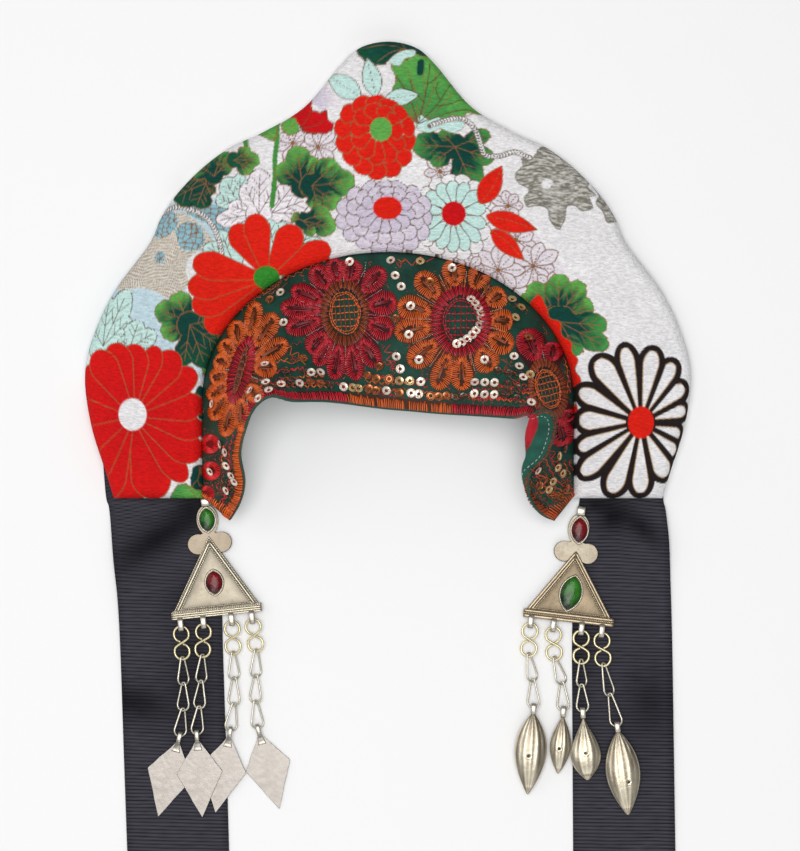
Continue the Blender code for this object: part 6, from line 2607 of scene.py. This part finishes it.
def fold_shade(side, x, y):
    """How much light the ribbon's soft folds catch, 1 where it lies flat."""
    shade = np.ones_like(x)
    for centre, radii, turn, depth in FOLD_SHADES[side]:
        turn = math.radians(turn)
        along = (x - centre[0]) * math.cos(turn) + (y - centre[1]) * math.sin(turn)
        aside = (y - centre[1]) * math.cos(turn) - (x - centre[0]) * math.sin(turn)
        shade *= 1 - depth * np.exp(-((along / radii[0]) ** 2) - (aside / radii[1]) ** 2)
    return shade


def ribbon_ribs(side, x, y, middle):
    """How far across the ribs each point lies, in millimetres, and how high it is, from 0 to 1."""
    slopes = np.array(RIB_SLOPES[side])
    phase = y + np.interp(y, slopes[:, 0], slopes[:, 1]) * (x - middle)
    if side == "right":
        x0, y0, rise, wide, down = PINCH
        phase = phase - rise * np.exp(-np.abs(x - x0) / wide) * np.exp(-np.clip(y0 - y, 0, None) / down)
    phase = phase + 0.25 * noise(x / 22 + 5, y / 16 + 50, 97)
    return phase, np.sqrt(np.abs(np.cos(math.pi * phase / RIB_PITCH)))


def make_ribbon(side, material):
    """A grosgrain ribbon whose ribs run across it, over the lift and the creases behind the crest."""
    pitch = RIB_PITCH / RIB_STEPS * 1
    levels = np.array(RIBBONS[side])
    count = int((levels[0, 0] - levels[-1, 0]) / pitch)
    curve = smooth(levels, 12)
    y = np.linspace(levels[0, 0], levels[-1, 0], count)
    left, right, lift = (np.interp(-y, -curve[:, 0], curve[:, column])[:, None] for column in (1, 2, 3))
    across = np.linspace(0, 1, RIBBON_COLUMNS)[None, :]
    y = np.broadcast_to(y[:, None], (count, RIBBON_COLUMNS))
    x = left + (right - left) * across
    phase, rib = ribbon_ribs(side, x, y, (left + right) / 2)
    edge = np.minimum(across, 1 - across) * (right - left)
    from_outer = across if side == "left" else 1 - across
    raised = lift * np.clip(1 - from_outer / RIBBON_LIFTED_SHARE, 0, None) ** 2
    middle = RIBBON_THICKNESS / 2 + raised + crease_height(side, x, y)
    half = (RIBBON_THICKNESS / 2 - RIB_DEPTH) * (1 - 0.5 * np.exp(-((edge / 0.5) ** 2)))
    over = np.stack([x, y, middle + half + RIB_DEPTH * rib], axis=-1)
    under = np.stack([x, y, middle - half - RIB_DEPTH * rib * 0.5], axis=-1)
    shade = np.clip(rib**1.4 + 0.25 * noise(x * 2.0, phase * 3.0, 98), 0, 1.2) * fold_shade(side, x, y)
    # Painted light: lit rib crests, shaded grooves, and painted shade in the folds
    colours = mixed((SHADED_RIB_GROOVE, LIT_RIB_CREST), shade)
    colours = colours[:, ::-1]
    shape = Shape()
    shape.add(np.concatenate([under, over[:, ::-1]], axis=1), np.concatenate([colours, colours], axis=1))
    return shape.build(f"grosgrain_{side}", material)


def dress(piece, node, slot):
    """Puts a piece on the root body and hides the CAD part of the node that it stands for. The slot is not
    used.
    """
    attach(piece, "root")
    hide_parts(node)


FLOOR_HALF = 2500.0
FLOOR_LEVEL = -0.05
def make_floor():
    signs = ((-1, -1), (1, -1), (1, 1), (-1, 1))
    corners = [(x * FLOOR_HALF, y * FLOOR_HALF, FLOOR_LEVEL) for x, y in signs]
    make_mesh("floor", corners, [(0, 1, 2, 3)], make_material("white_table"))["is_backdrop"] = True


# Lights: name, place in metres, size, power, colour
LIGHTS = (
    ("window", (-1.5, 0.5, 1.05), (1.3, 1.5), 5.6, (1.0, 0.97, 0.93)),
    ("softbox", (-0.12, 0.05, 2.2), (1.5, 1.5), 33.5, (1.0, 0.995, 0.985)),
    ("fill", (0.2, -1.4, 1.1), (1.3, 1.0), 5.0, (1.0, 1.0, 1.0)),
)
SKY_COLOUR = (0.97, 0.985, 1.0, 1.0)
SKY_STRENGTH = 0.3


def make_light(name, place, size, power, colour):
    """A rectangular light that looks at the frame's origin."""
    data = bpy.data.lights.new(name, "AREA")
    data.shape = "RECTANGLE"
    data.size, data.size_y = size
    data.energy = power
    data.color = colour
    light = bpy.data.objects.new(name, data)
    bpy.context.scene.collection.objects.link(light)
    light.location = place
    light.rotation_euler = (-Vector(place)).to_track_quat("-Z", "Y").to_euler()


def make_lights():
    for light in LIGHTS:
        make_light(*light)
    world = bpy.data.worlds.new("studio")
    bpy.context.scene.world = world
    world.use_nodes = True
    background = world.node_tree.nodes["Background"]
    background.inputs["Color"].default_value = SKY_COLOUR
    background.inputs["Strength"].default_value = SKY_STRENGTH


def make_camera():
    """The photo's camera, straight above the middle of its picture."""
    data = bpy.data.cameras.new("photo")
    data.sensor_width = SENSOR
    data.lens = SENSOR * CAMERA_HEIGHT / (PHOTO_HEIGHT * PIXEL)
    data.clip_end = 20.0
    camera = bpy.data.objects.new("photo", data)
    bpy.context.scene.collection.objects.link(camera)
    camera.location = Vector((CAMERA_X, CAMERA_Y, CAMERA_HEIGHT)) * MM
    bpy.context.scene.camera = camera


def main():
    make_camera()
    make_floor()
    make_lights()
    bpy.context.scene.view_settings.view_transform = "Standard"
    for piece in make_crest(make_material("printed_crepe")):
        dress(piece, "crest", "printed_crepe")
    for piece in make_band():
        dress(piece, "forehead_band", "embroidered_cloth")
    metal = make_material("old_silver")
    glasses = {kind: make_material(f"{kind}_glass", "glass") for kind in STONE_COLOURS}
    ribbon_cloth = make_material("black_grosgrain")
    for side in PENDANTS:
        ribbon = make_ribbon(side, ribbon_cloth)
        dress(ribbon, f"ribbon_{side}", "black_grosgrain")
        for piece, node, slot in make_pendant(side, metal, glasses):
            dress(piece, node, slot)
    boxes = {"cad": CAD_BOX, "visual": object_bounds()}
    {name: [list(map(float, corner)) for corner in box] for name, box in boxes.items()}


main()
